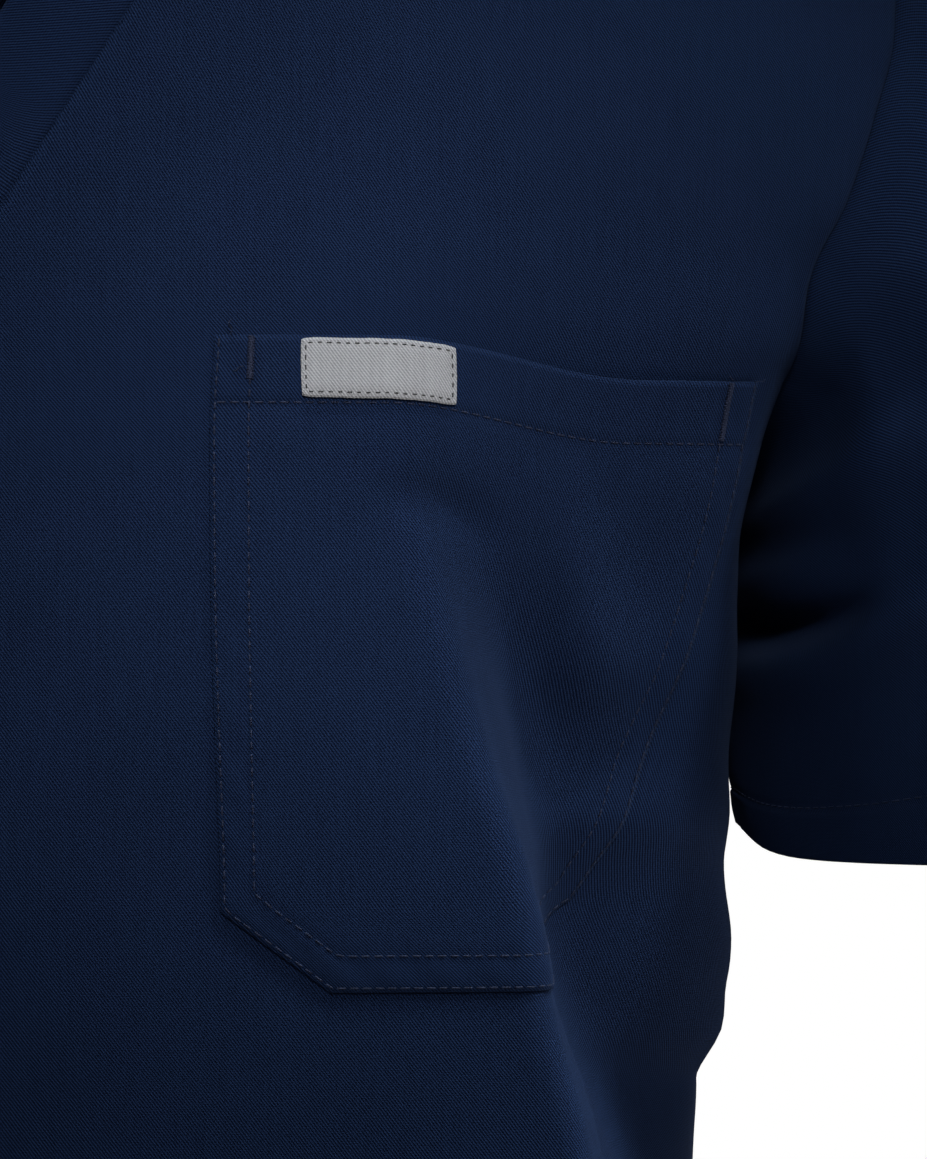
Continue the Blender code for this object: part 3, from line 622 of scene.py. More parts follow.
def twill(name, dark, light, pitch, relief_mm, roughness, sheen, contrast, mottle):
    """Twill: steep diagonal ribs, each a row of short floats, with yarns of slightly different shades. Its
    colour is also painted darker in the valleys between the ribs and floats, as painted shade.
    """
    material, tree, shader = new_material(name, roughness)
    place, across, along = cloth_coordinates(tree, "cloth")
    rib = ripple(tree, weighted_sum(tree, (across, RIB_ACROSS), (along, RIB_ALONG)), 2 * np.pi / pitch)
    float_ends = ripple(tree, along, 2 * np.pi / (pitch * 0.9))
    yarn = noise(tree, place, 1.3 / pitch, 3.0)
    stretch = tree.nodes.new("ShaderNodeMapping")
    socket(stretch, "Scale", (1.1, 0.06, 1))
    tree.links.new(place, stretch.inputs["Vector"])
    streak = noise(tree, stretch.outputs[0], 1.0, 2.0)
    cloud = noise(tree, place, 0.035, 3.0)
    height = weighted_sum(tree, (rib, 0.5), (float_ends, 0.14), (yarn, 0.8))
    level = 0.375 - 0.4 * contrast - mottle / 2
    # The rib and float part of height darkens the colour between the ribs: painted shade. The yarn, streak
    # and cloud terms are the cloth's own tone.
    shade = weighted_sum(tree, (height, contrast), (streak, 0.25), (cloud, mottle), level)
    tree.links.new(blend_colours(tree, shade, dark, light), shader.inputs["Base Color"])
    bump = tree.nodes.new("ShaderNodeBump")
    socket(bump, "Strength", 0.55)
    socket(bump, "Distance", relief_mm * MM)
    tree.links.new(height, bump.inputs["Height"])
    tree.links.new(bump.outputs[0], shader.inputs["Normal"])
    socket(shader, "Sheen Weight", sheen)
    socket(shader, "Sheen Roughness", 0.45)
    socket(shader, "Sheen Tint", (0.35, 0.5, 0.9, 1))
    socket(shader, "Specular IOR Level", 0.05)
    return material


def thread(name, dark, light):
    """Sewing thread: two plies, so its shade goes up and down along each stitch."""
    material, tree, shader = new_material(name, 0.6)
    place, _, along = cloth_coordinates(tree, "cloth")
    shade = weighted_sum(tree, (ripple(tree, along, 9.0), 0.25), noise(tree, place, 0.4))
    tree.links.new(blend_colours(tree, shade, dark, light), shader.inputs["Base Color"])
    socket(shader, "Specular IOR Level", 0.1)
    return material


NAVY = twill(
    "navy_twill", (0.0016, 0.0035, 0.0130), (0.0120, 0.0265, 0.0750),
    pitch=0.62, relief_mm=0.13, roughness=0.85, sheen=0.03, contrast=0.92, mottle=0.16,
)
GREY = twill(
    "grey_label_twill", (0.17, 0.169, 0.178), (0.50, 0.496, 0.522),
    pitch=0.62, relief_mm=0.14, roughness=0.80, sheen=0.03, contrast=0.5, mottle=0.12,
)
NAVY_THREAD = thread("navy_thread", (0.007, 0.010, 0.026), (0.030, 0.038, 0.076))
LABEL_THREAD = thread("label_thread", (0.030, 0.030, 0.032), (0.075, 0.073, 0.072))


def add_object(name, data):
    made = bpy.data.objects.new(name, data)
    bpy.context.scene.collection.objects.link(made)
    return made


def add_mesh(name, points, faces, uvs, material):
    """A smooth mesh from points in millimetres, which rides on the one body there is."""
    mesh = bpy.data.meshes.new(name)
    mesh.from_pydata((points * MM).tolist(), [], faces)
    mesh.shade_smooth()
    layer = mesh.uv_layers.new(name="cloth")
    corners = np.empty(len(mesh.loops), dtype=np.int32)
    mesh.loops.foreach_get("vertex_index", corners)
    layer.uv.foreach_set("vector", uvs.astype(np.float32)[corners].ravel())
    mesh.materials.append(material)
    made = add_object(name, mesh)
    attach(made, "root")
    return made


def cloth_piece(node, points, faces, uvs, material=NAVY, thickness=CLOTH):
    """A thin shell that stands for a solid. Points that no face uses are left out."""
    used, corners = np.unique(faces, return_inverse=True)
    corners = corners.reshape(-1, 4).tolist()
    made = add_mesh(f"{node}_cloth", points.reshape(-1, 3)[used], corners, uvs[used], material)
    thicken = made.modifiers.new("thickness", "SOLIDIFY")
    thicken.thickness = thickness * MM
    thicken.offset = -1
    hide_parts(node)
    return made


def numbered(points, closed=False):
    """The number of each point of a grid. A closed grid comes back to its first column."""
    numbers = np.arange(points[..., 0].size).reshape(points.shape[:2])
    return np.column_stack([numbers, numbers[:, 0]]) if closed else numbers


def quads(grid, flip=False):
    a, b, c, d = grid[:-1, :-1], grid[:-1, 1:], grid[1:, 1:], grid[1:, :-1]
    return np.stack((a, b, c, d) if flip else (a, d, c, b), axis=-1).reshape(-1, 4)


def uv_pairs(across, along):
    return np.stack(np.broadcast_arrays(across, along), axis=-1).reshape(-1, 2)


def lengths_down(points):
    """How far down the cloth each row lies, on average over its columns."""
    steps = np.linalg.norm(np.diff(points, axis=0), axis=-1).mean(axis=1)
    return np.concatenate([[0], np.cumsum(steps)])


def surface_uvs(surface, side):
    return uv_pairs(side * surface.distances, -lengths_down(surface.points)[:, None])


def along_ring(ring):
    """The direction of a closed row at each point, and how far round each lies, with the whole way."""
    lengths = np.linalg.norm(np.roll(ring, -1, axis=0) - ring, axis=1)
    along = unit(np.roll(ring, -2, axis=0) - np.roll(ring, 2, axis=0))
    return along, np.concatenate([[0], np.cumsum(lengths)])


def even_out(vectors, times):
    """Directions round a ring, each drawn towards its neighbours."""
    for _ in range(times):
        vectors = unit(np.roll(vectors, 1, axis=0) + 2 * vectors + np.roll(vectors, -1, axis=0))
    return vectors


def add_panel(node, left, right, slit_row, back):
    """A front or back from its two halves, which share the centre line below slit_row."""
    left_grid = numbered(left.points)
    right_grid = left_grid.size + numbered(right.points)
    right_grid[slit_row:, 0] = left_grid[slit_row:, 0]
    points = np.concatenate([left.points.reshape(-1, 3), right.points.reshape(-1, 3)])
    viewed = -1 if back else 1
    uvs = np.concatenate([surface_uvs(left, viewed), surface_uvs(right, -viewed)])
    faces = np.concatenate([quads(left_grid, back), quads(right_grid, not back)])
    return cloth_piece(node, points, faces, uvs)


def on_surface(surface, heights, distances):
    """Points and normals of a surface at places given by row height and distance along the row."""
    heights, distances = np.broadcast_arrays(np.asarray(heights, float), np.asarray(distances, float))
    rows = np.interp(-heights, -surface.heights, np.arange(len(surface.heights)))
    columns = np.arange(surface.distances.shape[1])
    found = []
    for row, distance in zip(rows, distances):
        upper = min(int(row), len(surface.heights) - 2)
        pair = []
        for r in (upper, upper + 1):
            column = np.interp(distance, surface.distances[r], columns)
            c = min(int(column), len(columns) - 2)
            both = np.concatenate([surface.points[r, c : c + 2], surface.normals[r, c : c + 2]], axis=1)
            pair.append(both[0] + (column - c) * (both[1] - both[0]))
        found.append(pair[0] + (row - upper) * (pair[1] - pair[0]))
    found = np.array(found)
    return found[:, :3], unit(found[:, 3:])


# Sewing


class Stitches:
    """Gathers stitches into one mesh. Each is a short thread that dips into the cloth at its ends."""

    ALONG = np.array([0.0, 0.14, 0.5, 0.86, 1.0])
    THICKNESS = np.array([0.45, 0.95, 1.0, 0.95, 0.45])
    RISE = np.array([-0.9, 0.35, 0.7, 0.35, -0.9])
    SIDES = 6
    FLATNESS = 0.8

    def __init__(self):
        self.points, self.faces, self.uvs, self.count = [], [], [], 0

    def add(self, starts, ends, normals, radius):
        """A stitch from each start to its end."""
        way = (ends - starts)[:, None, :]
        sideways = unit(np.cross(way, normals[:, None, :]))
        rise = radius * self.RISE[None, :, None] * normals[:, None, :]
        middle = starts[:, None, :] + self.ALONG[None, :, None] * way + rise
        angle = 2 * np.pi * np.arange(self.SIDES)[None, None, :, None] / self.SIDES
        reach = radius * self.THICKNESS[None, :, None, None]
        ring = np.cos(angle) * sideways[:, :, None, :]
        ring = ring + self.FLATNESS * np.sin(angle) * normals[:, None, None, :]
        made = middle[:, :, None, :] + reach * ring
        number, rings = made.shape[:2]
        first = self.count + np.arange(number)[:, None] * rings * self.SIDES
        closed = numbered(made[0], closed=True)
        for face in (*quads(closed, True), closed[0, :-1][::-1], closed[-1, :-1]):
            self.faces += (first + face).tolist()
        self.points.append(made.reshape(-1, 3))
        lengths = np.linalg.norm(way, axis=-1)
        along = self.ALONG * lengths + np.arange(number)[:, None] * 3.0
        self.uvs.append(uv_pairs(0.0, along[:, :, None] + np.zeros(self.SIDES)))
        self.count += made[..., 0].size

    def row(self, points, normals, pitch=STITCH_PITCH, gap=0.62, radius=0.21, closed=False, seed=1):
        """Stitches along a path, a little uneven in length."""
        if closed:
            points, normals = np.vstack([points, points[:1]]), np.vstack([normals, normals[:1]])
        steps = np.linalg.norm(np.diff(points, axis=0), axis=1)
        run = np.concatenate([[0], np.cumsum(steps)])
        count = max(1, int(run[-1] / pitch))
        random = np.random.default_rng(seed)
        marks = (np.arange(count + 1) + np.append(random.uniform(-0.06, 0.06, count), 0)) * run[-1] / count
        marks = np.clip(marks, 0, run[-1])

        def at(values, places):
            return np.stack([np.interp(places, run, values[:, i]) for i in range(3)], axis=-1)

        middles = unit(at(normals, (marks[1:] + marks[:-1]) / 2))
        self.add(at(points, marks[:-1] + gap / 2), at(points, marks[1:] - gap / 2), middles, radius)

    def piece(self, name, material):
        made = add_mesh(name, np.concatenate(self.points), self.faces, np.concatenate(self.uvs), material)
        return made


# The pocket and its label


def pocket_bounds(height):
    """Where the pocket begins and ends at a height. Its two lower corners are cut off."""
    share = np.clip((POCKET_TOP - POCKET_SIDE - height) / (POCKET_HEIGHT - POCKET_SIDE), 0, 1)
    return POCKET_NEAR + POCKET_CUT * share, POCKET_FAR - POCKET_CUT * share


def from_outline(across, height):
    """Distance of a place on the pocket from its sides, its cut corners and its bottom."""
    drop = POCKET_HEIGHT - POCKET_SIDE
    slope = np.hypot(drop, POCKET_CUT)
    bottom = height - (POCKET_TOP - POCKET_HEIGHT)
    near, far = across - POCKET_NEAR, POCKET_FAR - across
    cuts = [(drop * side + POCKET_CUT * (bottom - drop)) / slope for side in (near, far)]
    return np.minimum.reduce(np.broadcast_arrays(near, far, bottom, *cuts))


def add_pocket():
    """The pocket's cloth. distances are the cloth's own, and laid is where its near side wanders to."""
    seam, side, end = (POCKET_HEM - 1.6, POCKET_HEM + 2), POCKET_SIDE, POCKET_HEIGHT
    below = spaced((0, seam[0], 1.5), (*seam, 0.9), (seam[1], side, 1.7), (side, end, 1.5))
    heights = POCKET_TOP - below
    share = spaced((0, 0.07, 0.012), (0.07, 0.93, 0.0128), (0.93, 1, 0.012))
    points, distances, laid = [], [], []
    for height, wander in zip(heights, smooth_curve(*zip(*POCKET_WANDER), heights)):
        near, far = pocket_bounds(height)
        row = near + share * (far - near)
        distances.append(row)
        laid.append(row + wander * (1 - soft_step((row - near) / WANDER_REACH)))
        points.append(front_row(height, laid[-1], LEFT_FOLD, 1))
    points, distances = np.array(points), np.array(distances)
    rows = heights[:, None]
    normals = grid_normals(points, 1)
    inside = from_outline(distances, rows)
    below = below[:, None]
    puff = 0.35 * soft_step(inside / 12) * soft_step((below - POCKET_HEM) / 10)
    pucker = 0.10 * np.sin(distances / 1.9 + rows / 2.3) * np.exp(-(((inside - 4) / 4.5) ** 2))
    grooves = sum(-0.22 * np.exp(-(((inside - row) / 0.9) ** 2)) for row in TWIN_ROWS)
    grooves = grooves - 0.25 * np.exp(-((below - POCKET_HEM) ** 2))
    hem = 0.30 * soft_step((POCKET_HEM + 0.6 - below) / 1.4)
    sag = 0.9 * np.exp(-((below / 9) ** 2)) * np.sin(np.pi * np.clip((distances - 110) / 78, 0, 1))
    edge = -0.25 * (1 - soft_step(inside / 1.2))
    push = POCKET_LIFT + panel_relief(np.array(laid), rows) + puff + pucker + grooves + hem + sag + edge
    points = points + push[..., None] * normals
    surface = Surface(points, grid_normals(points, 1), distances, heights)
    uvs = surface_uvs(surface, 1) + (0.31, 0.17)  # so that the weave doesn't match the front's
    return surface, cloth_piece("chest_pocket", points, quads(numbered(points)), uvs)


def add_label(pocket):
    """A woven label on the pocket's hem. Its surface is read by shares of its size."""
    width, height = LABEL_FAR - LABEL_NEAR, LABEL_TOP - LABEL_BOTTOM
    across, down = np.linspace(0, 1, 47), np.linspace(0, 1, 19)
    uneven = np.cumsum(np.random.default_rng(8).uniform(-0.05, 0.05, (2, len(across))), axis=1)
    upper, lower = LABEL_TOP + uneven[0], LABEL_BOTTOM + uneven[1]
    points, normals = [], []
    for t in down:
        bow = 0.45 * (1 - (2 * t - 1) ** 2)
        left, right = LABEL_NEAR - 0.35 * bow + 0.25 * t, LABEL_FAR + 0.35 * bow + 0.35 * t
        place = left + across * (right - left)
        rounding = 0.35 * np.maximum(np.exp(left - place), np.exp(place - right)) * (1 - 2 * t)
        rounding = rounding * (abs(1 - 2 * t) > 0.85)
        row, row_normals = on_surface(pocket, upper + t * (lower - upper) - rounding, place)
        points.append(row)
        normals.append(row_normals)
    points, normals = np.array(points), np.array(normals)
    from_sides = np.minimum(across, 1 - across) * round(width)
    edge = np.minimum.outer(np.minimum(down, 1 - down) * round(height), from_sides)
    lift = 0.95 - 0.30 * np.exp(-(((edge - 1.0) / 0.6) ** 2)) - 0.15 * (edge < 0.3)
    points = points + lift[..., None] * normals
    uvs = uv_pairs(across[None, :] * width, -down[:, None] * height)
    made = cloth_piece("pocket_label", points, quads(numbered(points)), uvs, GREY, 0.7)
    surface = Surface(points, normals, np.tile(across, (len(down), 1)), -down)
    near, upper = 1.0 / width, 1.1 / height
    corners = [(near, upper), (1 - near, upper), (1 - near, 1 - upper), (near, 1 - upper)]
    sewing = Stitches()
    for seed, (start, end) in enumerate(zip(corners, corners[1:] + corners[:1]), 20):
        x, y = np.linspace(start, end, 60).T
        sewing.row(*on_surface(surface, -y, x), pitch=2.1, gap=0.95, radius=0.17, seed=seed)
    return made, sewing.piece("label_stitches", LABEL_THREAD)


def outline_path(inset):
    """The pocket's outline down one side, round the bottom and up the other, moved in by inset."""
    drop = POCKET_HEIGHT - POCKET_SIDE
    slope = np.hypot(drop, POCKET_CUT)
    bottom = POCKET_TOP - POCKET_HEIGHT + inset
    shift = (slope * inset - drop * inset) / POCKET_CUT  # along the side, to the moved cut
    turn = (slope * inset - POCKET_CUT * inset) / drop  # along the bottom, to the same
    near, far = POCKET_NEAR + inset, POCKET_FAR - inset
    corner_height = POCKET_TOP - POCKET_SIDE + shift
    corners = [
        (near, POCKET_TOP - 0.4),
        (near, corner_height),
        (POCKET_NEAR + POCKET_CUT + turn, bottom),
        (POCKET_FAR - POCKET_CUT - turn, bottom),
        (far, corner_height),
        (far, POCKET_TOP - 0.4),
    ]
    path = []
    for start, end in zip(corners, corners[1:]):
        count = max(2, int(np.hypot(end[0] - start[0], end[1] - start[1])))
        path += list(np.linspace(start, end, count, endpoint=False))
    return np.array([*path, corners[-1]])


def sew_pocket(pocket):
    """Twin rows round the pocket, one along its hem, and a bartack where each inner row begins."""
    rows = Stitches()
    for k, inset in enumerate(TWIN_ROWS):
        path = outline_path(inset)
        rows.row(*on_surface(pocket, path[:, 1], path[:, 0]), seed=30 + k)
    across = np.linspace(POCKET_NEAR + 1, POCKET_FAR - 1, 130)
    rows.row(*on_surface(pocket, POCKET_TOP - POCKET_HEM, across), seed=33)
    for side, length in BARTACKS:
        count = int(3.3 * length)
        down = POCKET_TOP - np.linspace(0.2, length, count)
        leaning = 0.8 * np.where(np.arange(count) % 2, 1, -1)
        points, normals = on_surface(pocket, down, side + leaning)
        points = points + 0.22 * normals
        rows.add(points[:-1], points[1:], normals[:-1], 0.24)
    return rows.piece("pocket_stitches", NAVY_THREAD)


def thread_ends(pocket):
    """Loose ends of thread that stand up from the pocket's corners."""
    tails = [
        ((63.4, POCKET_TOP + 0.2), [(0, 0, 0), (0.5, 0.5, 1.2), (-0.4, 0.9, 2.4), (0.2, 0.8, 3.4)]),
        ((66.6, POCKET_TOP - 7.0), [(0, 0.2, 0), (-1.0, 0.5, -0.3), (-1.7, 0.5, -1.2), (-2.2, 0.5, -1.0)]),
        ((184.6, POCKET_TOP + 0.1), [(0, 0.1, 0), (-0.8, 0.6, 0.8), (-1.5, 0.8, 1.6)]),
        ((190.6, POCKET_TOP + 0.1), [(0, 0.1, 0), (0.7, 0.6, 0.5), (1.4, 0.9, 0.4), (1.9, 0.8, 1.0)]),
    ]
    sewing = Stitches()
    for (across, height), bends in tails:
        base, normal = on_surface(pocket, [height], [across])
        knots = np.array([base[0] + (right, 0, up) + out * normal[0] for right, out, up in bends])
        t = np.linspace(0, len(knots) - 1, 9)
        path = np.stack([np.interp(t, np.arange(len(knots)), knots[:, i]) for i in range(3)], axis=-1)
        sewing.add(path[:-1], path[1:], np.repeat(normal, 8, axis=0), 0.13)
    return sewing.piece("thread_ends", NAVY_THREAD)


# The neck band


BAND_PROFILE = [  # share of the way to the inner edge, and how far the cloth stands out there
    (-0.03, -0.475), (0.0, -0.0625), (0.03, 0.3875), (0.07, 0.6125), (0.14, 0.8), (0.26, 0.9125),
    (0.4, 0.95), (0.55, 0.95), (0.7, 0.9125), (0.82, 0.8375), (0.91, 0.6875), (0.97, 0.425), (1.0, -0.025),
]


def add_band(front_left, front_right, back_left, back_right):
    """One ring, sewn to the neck's edge, folded double inside and mitred at the point of the V."""
    stretches = [
        (front_left.points, range(V_POINT_ROW, -1, -1)),
        (back_left.points, range(1, BACK_NECK_ROW + 1)),
        (back_right.points, range(BACK_NECK_ROW - 1, 0, -1)),
        (front_right.points, range(0, V_POINT_ROW)),
    ]
    places = [(half, row) for half, rows in stretches for row in rows]
    edge = np.array([half[row, 0] for half, row in places])
    onwards = np.array([2 * half[row, 0] - half[row, 1] - half[row + 1, 0] for half, row in places])
    along, run = along_ring(edge)
    onwards = unit(onwards - (onwards * along).sum(1, keepdims=True) * along)
    upwards = np.cross(along, onwards)
    upwards *= np.sign(upwards[:, 2:])
    lift = BAND_LIFT * soft_step((edge[:, 1:2] + 50) / 90)
    inner = edge + BAND_WIDTH * even_out(unit(onwards + lift * upwards), times=60)
    point = np.array([0, -read(CUTS, BAND_POINT).front, BAND_POINT])
    mitre = int(np.searchsorted(run[:-1], MITRE_REACH))
    for step in range(mitre):
        share = step / mitre
        inner[step] = point + share * (inner[mitre] - point)
        inner[-step] = point + share * (inner[-mitre] - point)
    out = unit(np.cross(along, inner - edge))
    out *= np.sign((out * (edge - edge.mean(axis=0))).sum(axis=1, keepdims=True))
    rings = np.array([edge + share * (inner - edge) + up * out for share, up in BAND_PROFILE])
    rings[3:] += unevenness(run[:-1], 0 * run[:-1], 46, 0.35, 3)[:, None] * out
    uvs = uv_pairs(run[:-1][None, :], np.array(BAND_PROFILE)[:, :1] * BAND_WIDTH)
    return cloth_piece("neck_band", rings, quads(numbered(rings, closed=True), True), uvs, thickness=1.3)


# Sleeves


def ring_at(rings, normals, fallen, from_end):
    """The points and normals of a tube, a distance above its lower edge."""
    place = np.interp(fallen[-1] - from_end, fallen, np.arange(len(fallen)))
    r, share = int(place), place - int(place)
    points, facing = (values[r] * (1 - share) + values[r + 1] * share for values in (rings, normals))
    return points, unit(facing)


def add_sleeve(node, front, back, side):
    """Rings from the armhole's edge down to the hem. Returns the sleeve and the ring for its stitches."""
    halves = ((front.points, range(UNDERARM_ROW, -1, -1)), (back.points, range(1, UNDERARM_ROW)))
    edge, before = (
        np.concatenate([points[list(rows), column] for points, rows in halves]) for column in (-1, -6)
    )
    onwards = even_out(unit(edge - before), 6)
    along, way_round = along_ring(edge)
    panel_out = unit(np.cross(onwards, along)) * side
    outwards = unit(np.array([side, 0, -SLEEVE_SLOPE]))
    start = outwards - np.minimum((outwards * panel_out).sum(1, keepdims=True), 0) * panel_out
    start = even_out(unit(start), 6)
    round_mm, around = way_round[None, :-1], way_round[:-1] / way_round[-1]
    angle = 2 * np.pi * around
    across = -np.cos(angle)
    hem = np.stack([
        side * (HEM_CENTRE[0] + HEM_HALF_WIDTH * across),
        HEM_CENTRE[1] - HEM_HALF_DEPTH * np.sin(angle),
        HEM_CENTRE[2] + HEM_LIFT * np.maximum(np.cos(angle), 0) ** 14,
    ], axis=-1)
    down = unit(np.array([side * ARM[0], ARM[1], ARM[2]]))
    run = np.linalg.norm(hem - edge, axis=1, keepdims=True)
    steps = np.concatenate([[0, 0.005, 0.012, 0.022], np.linspace(0.035, 1, 84)])
    leave, arrive = SLEEVE_START * run * start, SLEEVE_END * run * down
    rings = np.array([
        (2 * t**3 - 3 * t**2 + 1) * edge + (t**3 - 2 * t**2 + t) * leave
        + (3 * t**2 - 2 * t**3) * hem + (t**3 - t**2) * arrive
        for t in steps
    ])
    normals = grid_normals(rings, side, closed=True)
    fallen = lengths_down(rings)
    share = (fallen / fallen[-1])[:, None]
    push = relief(SLEEVE_BACK_CREASES, around[None, :], share)
    signed = np.where(around > 0.5, around - 1, around)
    push = push + relief(SLEEVE_INNER_CREASES, signed[None, :], share)
    front_part = soft_step((-normals[..., 1] + 0.1) / 0.5)
    push = push + front_part * relief(SLEEVE_CREASES, side * rings[..., 0], rings[..., 2])
    push = push + unevenness(round_mm, fallen[:, None], 60, 1.0, 17 if side > 0 else 23)
    push = push * soft_step(fallen[:, None] / 24)
    push = push + seam_roll(fallen[:, None])
    push = push + hem_relief((fallen[-1] - fallen)[:, None], SLEEVE_HEM, round_mm)
    rings = rings + push[..., None] * normals
    uvs = uv_pairs(side * round_mm, -fallen[:, None])
    made = cloth_piece(node, rings, quads(numbered(rings, closed=True), side < 0), uvs)
    return made, ring_at(rings, grid_normals(rings, side, closed=True), fallen, SLEEVE_HEM)


# Trousers


def leg_surface(sections, side, towards, creases):
    """One leg panel, from its inner seam round to the outer seam."""
    heights = spaced((-WAIST_SEAM, 690, 6), (690, 730, 2.5), (730, 1412, 5), (1412, -TROUSER_HEM, 2.4)) * -1
    even = np.linspace(0, 1, 44)
    t = (0.35 * (1 - np.cos(np.pi * even)) / 2 + 0.65 * even)[:, None]  # closer together near the seams
    points = []
    for height in heights:
        leg = read(sections, height)
        inner = np.array([leg.inner_x, leg.inner_y])
        outer = np.array([leg.outer_x, leg.outer_y])
        turn = np.radians(leg.out)
        first = inner + leg.inner_pull * np.array([np.cos(turn), towards * np.sin(turn)])
        second = outer + leg.outer_pull * np.array([0, towards])
        curve = (1 - t) ** 3 * inner + 3 * t * (1 - t) ** 2 * first
        curve = (curve + 3 * t**2 * (1 - t) * second + t**3 * outer) * (side, 1)
        points.append(np.column_stack([curve, np.full(len(t), height)]))
    points = np.array(points)
    steps = np.linalg.norm(np.diff(points, axis=1), axis=-1)
    distances = np.concatenate([np.zeros((len(heights), 1)), np.cumsum(steps, axis=1)], axis=1)
    rows = heights[:, None]
    outwards = -side * towards
    normals = grid_normals(points, outwards)
    from_seam = np.minimum(distances, distances[:, -1:] - distances)
    seed = 40 + 2 * (side > 0) + (towards > 0)
    push = relief(creases, distances, rows + 6 * (side < 0)) * (1 if side > 0 else 0.85)
    push = push + unevenness(distances, rows, 90, 2.2, seed)
    push = push * soft_step(from_seam / 26) * soft_step((WAIST_SEAM - rows) / 60)
    push = push + seam_roll(from_seam) + hem_relief(rows - TROUSER_HEM, LEG_HEM, distances)
    points = points + push[..., None] * normals
    points[..., 0] = np.where(rows > CROTCH, side * np.maximum(side * points[..., 0], 0.1), points[..., 0])
    return Surface(points, grid_normals(points, outwards), distances, heights)


def add_leg(node, surface, side, towards):
    faces = quads(numbered(surface.points), side * towards > 0)
    return cloth_piece(node, surface.points, faces, surface_uvs(surface, -side * towards))


def add_waistband():
    """A ring round the trousers' upper edge, gathered by elastic, and three rings to sew along."""
    front, back = (
        leg_surface(*leg, []).points[0, :, :2] for leg in ((FRONT_LEG, 1, -1), (BACK_LEG, 1, 1))
    )
    ring = np.concatenate([front, back[::-1][1:]])
    ring = np.concatenate([ring, ring[::-1][1:-1] * (-1, 1)])
    run = along_ring(ring)[1]
    around = np.linspace(0, run[-1], 521)[:-1]
    closed = np.vstack([ring, ring[:1]])
    ring = np.stack([np.interp(around, run, closed[:, i]) for i in range(2)], axis=-1)
    height = WAIST_TOP - WAIST_SEAM
    down = spaced((0, height, 2.4))
    points = np.array([np.column_stack([ring, np.full(len(ring), WAIST_TOP - h)]) for h in down])
    normals = grid_normals(points, 1, closed=True)
    down = down[:, None]
    gathers = 0.9 * np.sin(around / 1.65 + 1.1 * np.sin(around / 23))
    gathers = gathers * np.sin(np.pi * np.clip(down / height, 0.12, 0.88))
    swell = 0.8 * np.sin(np.pi * down / height)
    points = points + (swell * (1 + gathers) + 0.25 * gathers)[..., None] * normals
    uvs = uv_pairs(around[None, :], -down)
    made = cloth_piece("waistband", points, quads(numbered(points, closed=True)), uvs)
    normals = grid_normals(points, 1, closed=True)
    return made, [(points[r], normals[r]) for r in (2, len(points) // 2, len(points) - 3)]


# The whole set


def sew_top(front_left, front_right, back_left, back_right):
    """The rows of stitches along the top's hem and beside its shoulder seams."""
    sewing = Stitches()
    for seed, half in enumerate((front_left, front_right, back_left, back_right), 51):
        places = np.linspace(0.2, half.distances[-1, -1] - 1, 110)
        sewing.row(*on_surface(half, TOP_HEM - TOP_LENGTH, places), seed=seed)
    for seed, half in enumerate((front_left, front_right), 71):
        neck, edge = half.distances[0, 0], half.distances[0, -1]
        height = np.interp(SHOULDER_ROW, lengths_down(half.points), half.heights)
        sewing.row(*on_surface(half, height, np.linspace(neck + 1, edge - 2, 50)), seed=seed)
    return sewing.piece("top_stitches", NAVY_THREAD)


def sew_rings(name, rings):
    """Closed rows of stitches round sleeves, trouser hems and the waistband."""
    sewing = Stitches()
    for seed, (points, normals) in enumerate(rings, 90):
        sewing.row(points, normals, closed=True, seed=seed)
    sewing.piece(name, NAVY_THREAD)


def leg_hem_ring(front, back):
    """The points and normals that the stitches of a trouser leg's hem follow."""
    height = TROUSER_HEM + LEG_HEM
    pieces = []
    for surface, way in ((front, 1), (back, -1)):
        row = np.interp(-height, -surface.heights, np.arange(len(surface.heights)))
        reach = surface.distances[int(row), -1]
        pieces.append(on_surface(surface, height, np.linspace(1, reach - 1, 60)[::way]))
    points, normals = zip(*pieces)
    return np.vstack(points), np.vstack(normals)


front_left = panel_half(LEFT_COLUMNS, 1)
front_right = panel_half(RIGHT_COLUMNS, -1)
back_left = panel_half(BACK_COLUMNS, 1, back=True)
back_right = panel_half(BACK_COLUMNS, -1, back=True)

top_front = add_panel("top_front", front_left, front_right, V_POINT_ROW, back=False)
top_back = add_panel("top_back", back_left, back_right, BACK_NECK_ROW, back=True)
pocket_surface, pocket = add_pocket()
label, label_stitches = add_label(pocket_surface)
pocket_stitches = sew_pocket(pocket_surface)
loose_threads = thread_ends(pocket_surface)
band = add_band(front_left, front_right, back_left, back_right)
top_stitches = sew_top(front_left, front_right, back_left, back_right)

sleeves, sleeve_rings = zip(
    add_sleeve("sleeve_left", front_left, back_left, 1),
    add_sleeve("sleeve_right", front_right, back_right, -1),
)
sew_rings("sleeve_stitches", sleeve_rings)

legs, leg_rings = [], []
for side, which in ((1, "left"), (-1, "right")):
    front = leg_surface(FRONT_LEG, side, -1, LEG_FRONT_CREASES)
    back = leg_surface(BACK_LEG, side, 1, LEG_BACK_CREASES)
    legs.append(add_leg(f"trouser_front_{which}", front, side, -1))
    legs.append(add_leg(f"trouser_back_{which}", back, side, 1))
    leg_rings.append(leg_hem_ring(front, back))
sew_rings("trouser_hem_stitches", leg_rings)
waistband, waist_rings = add_waistband()
sew_rings("waistband_stitches", waist_rings)

# Stage, light and camera


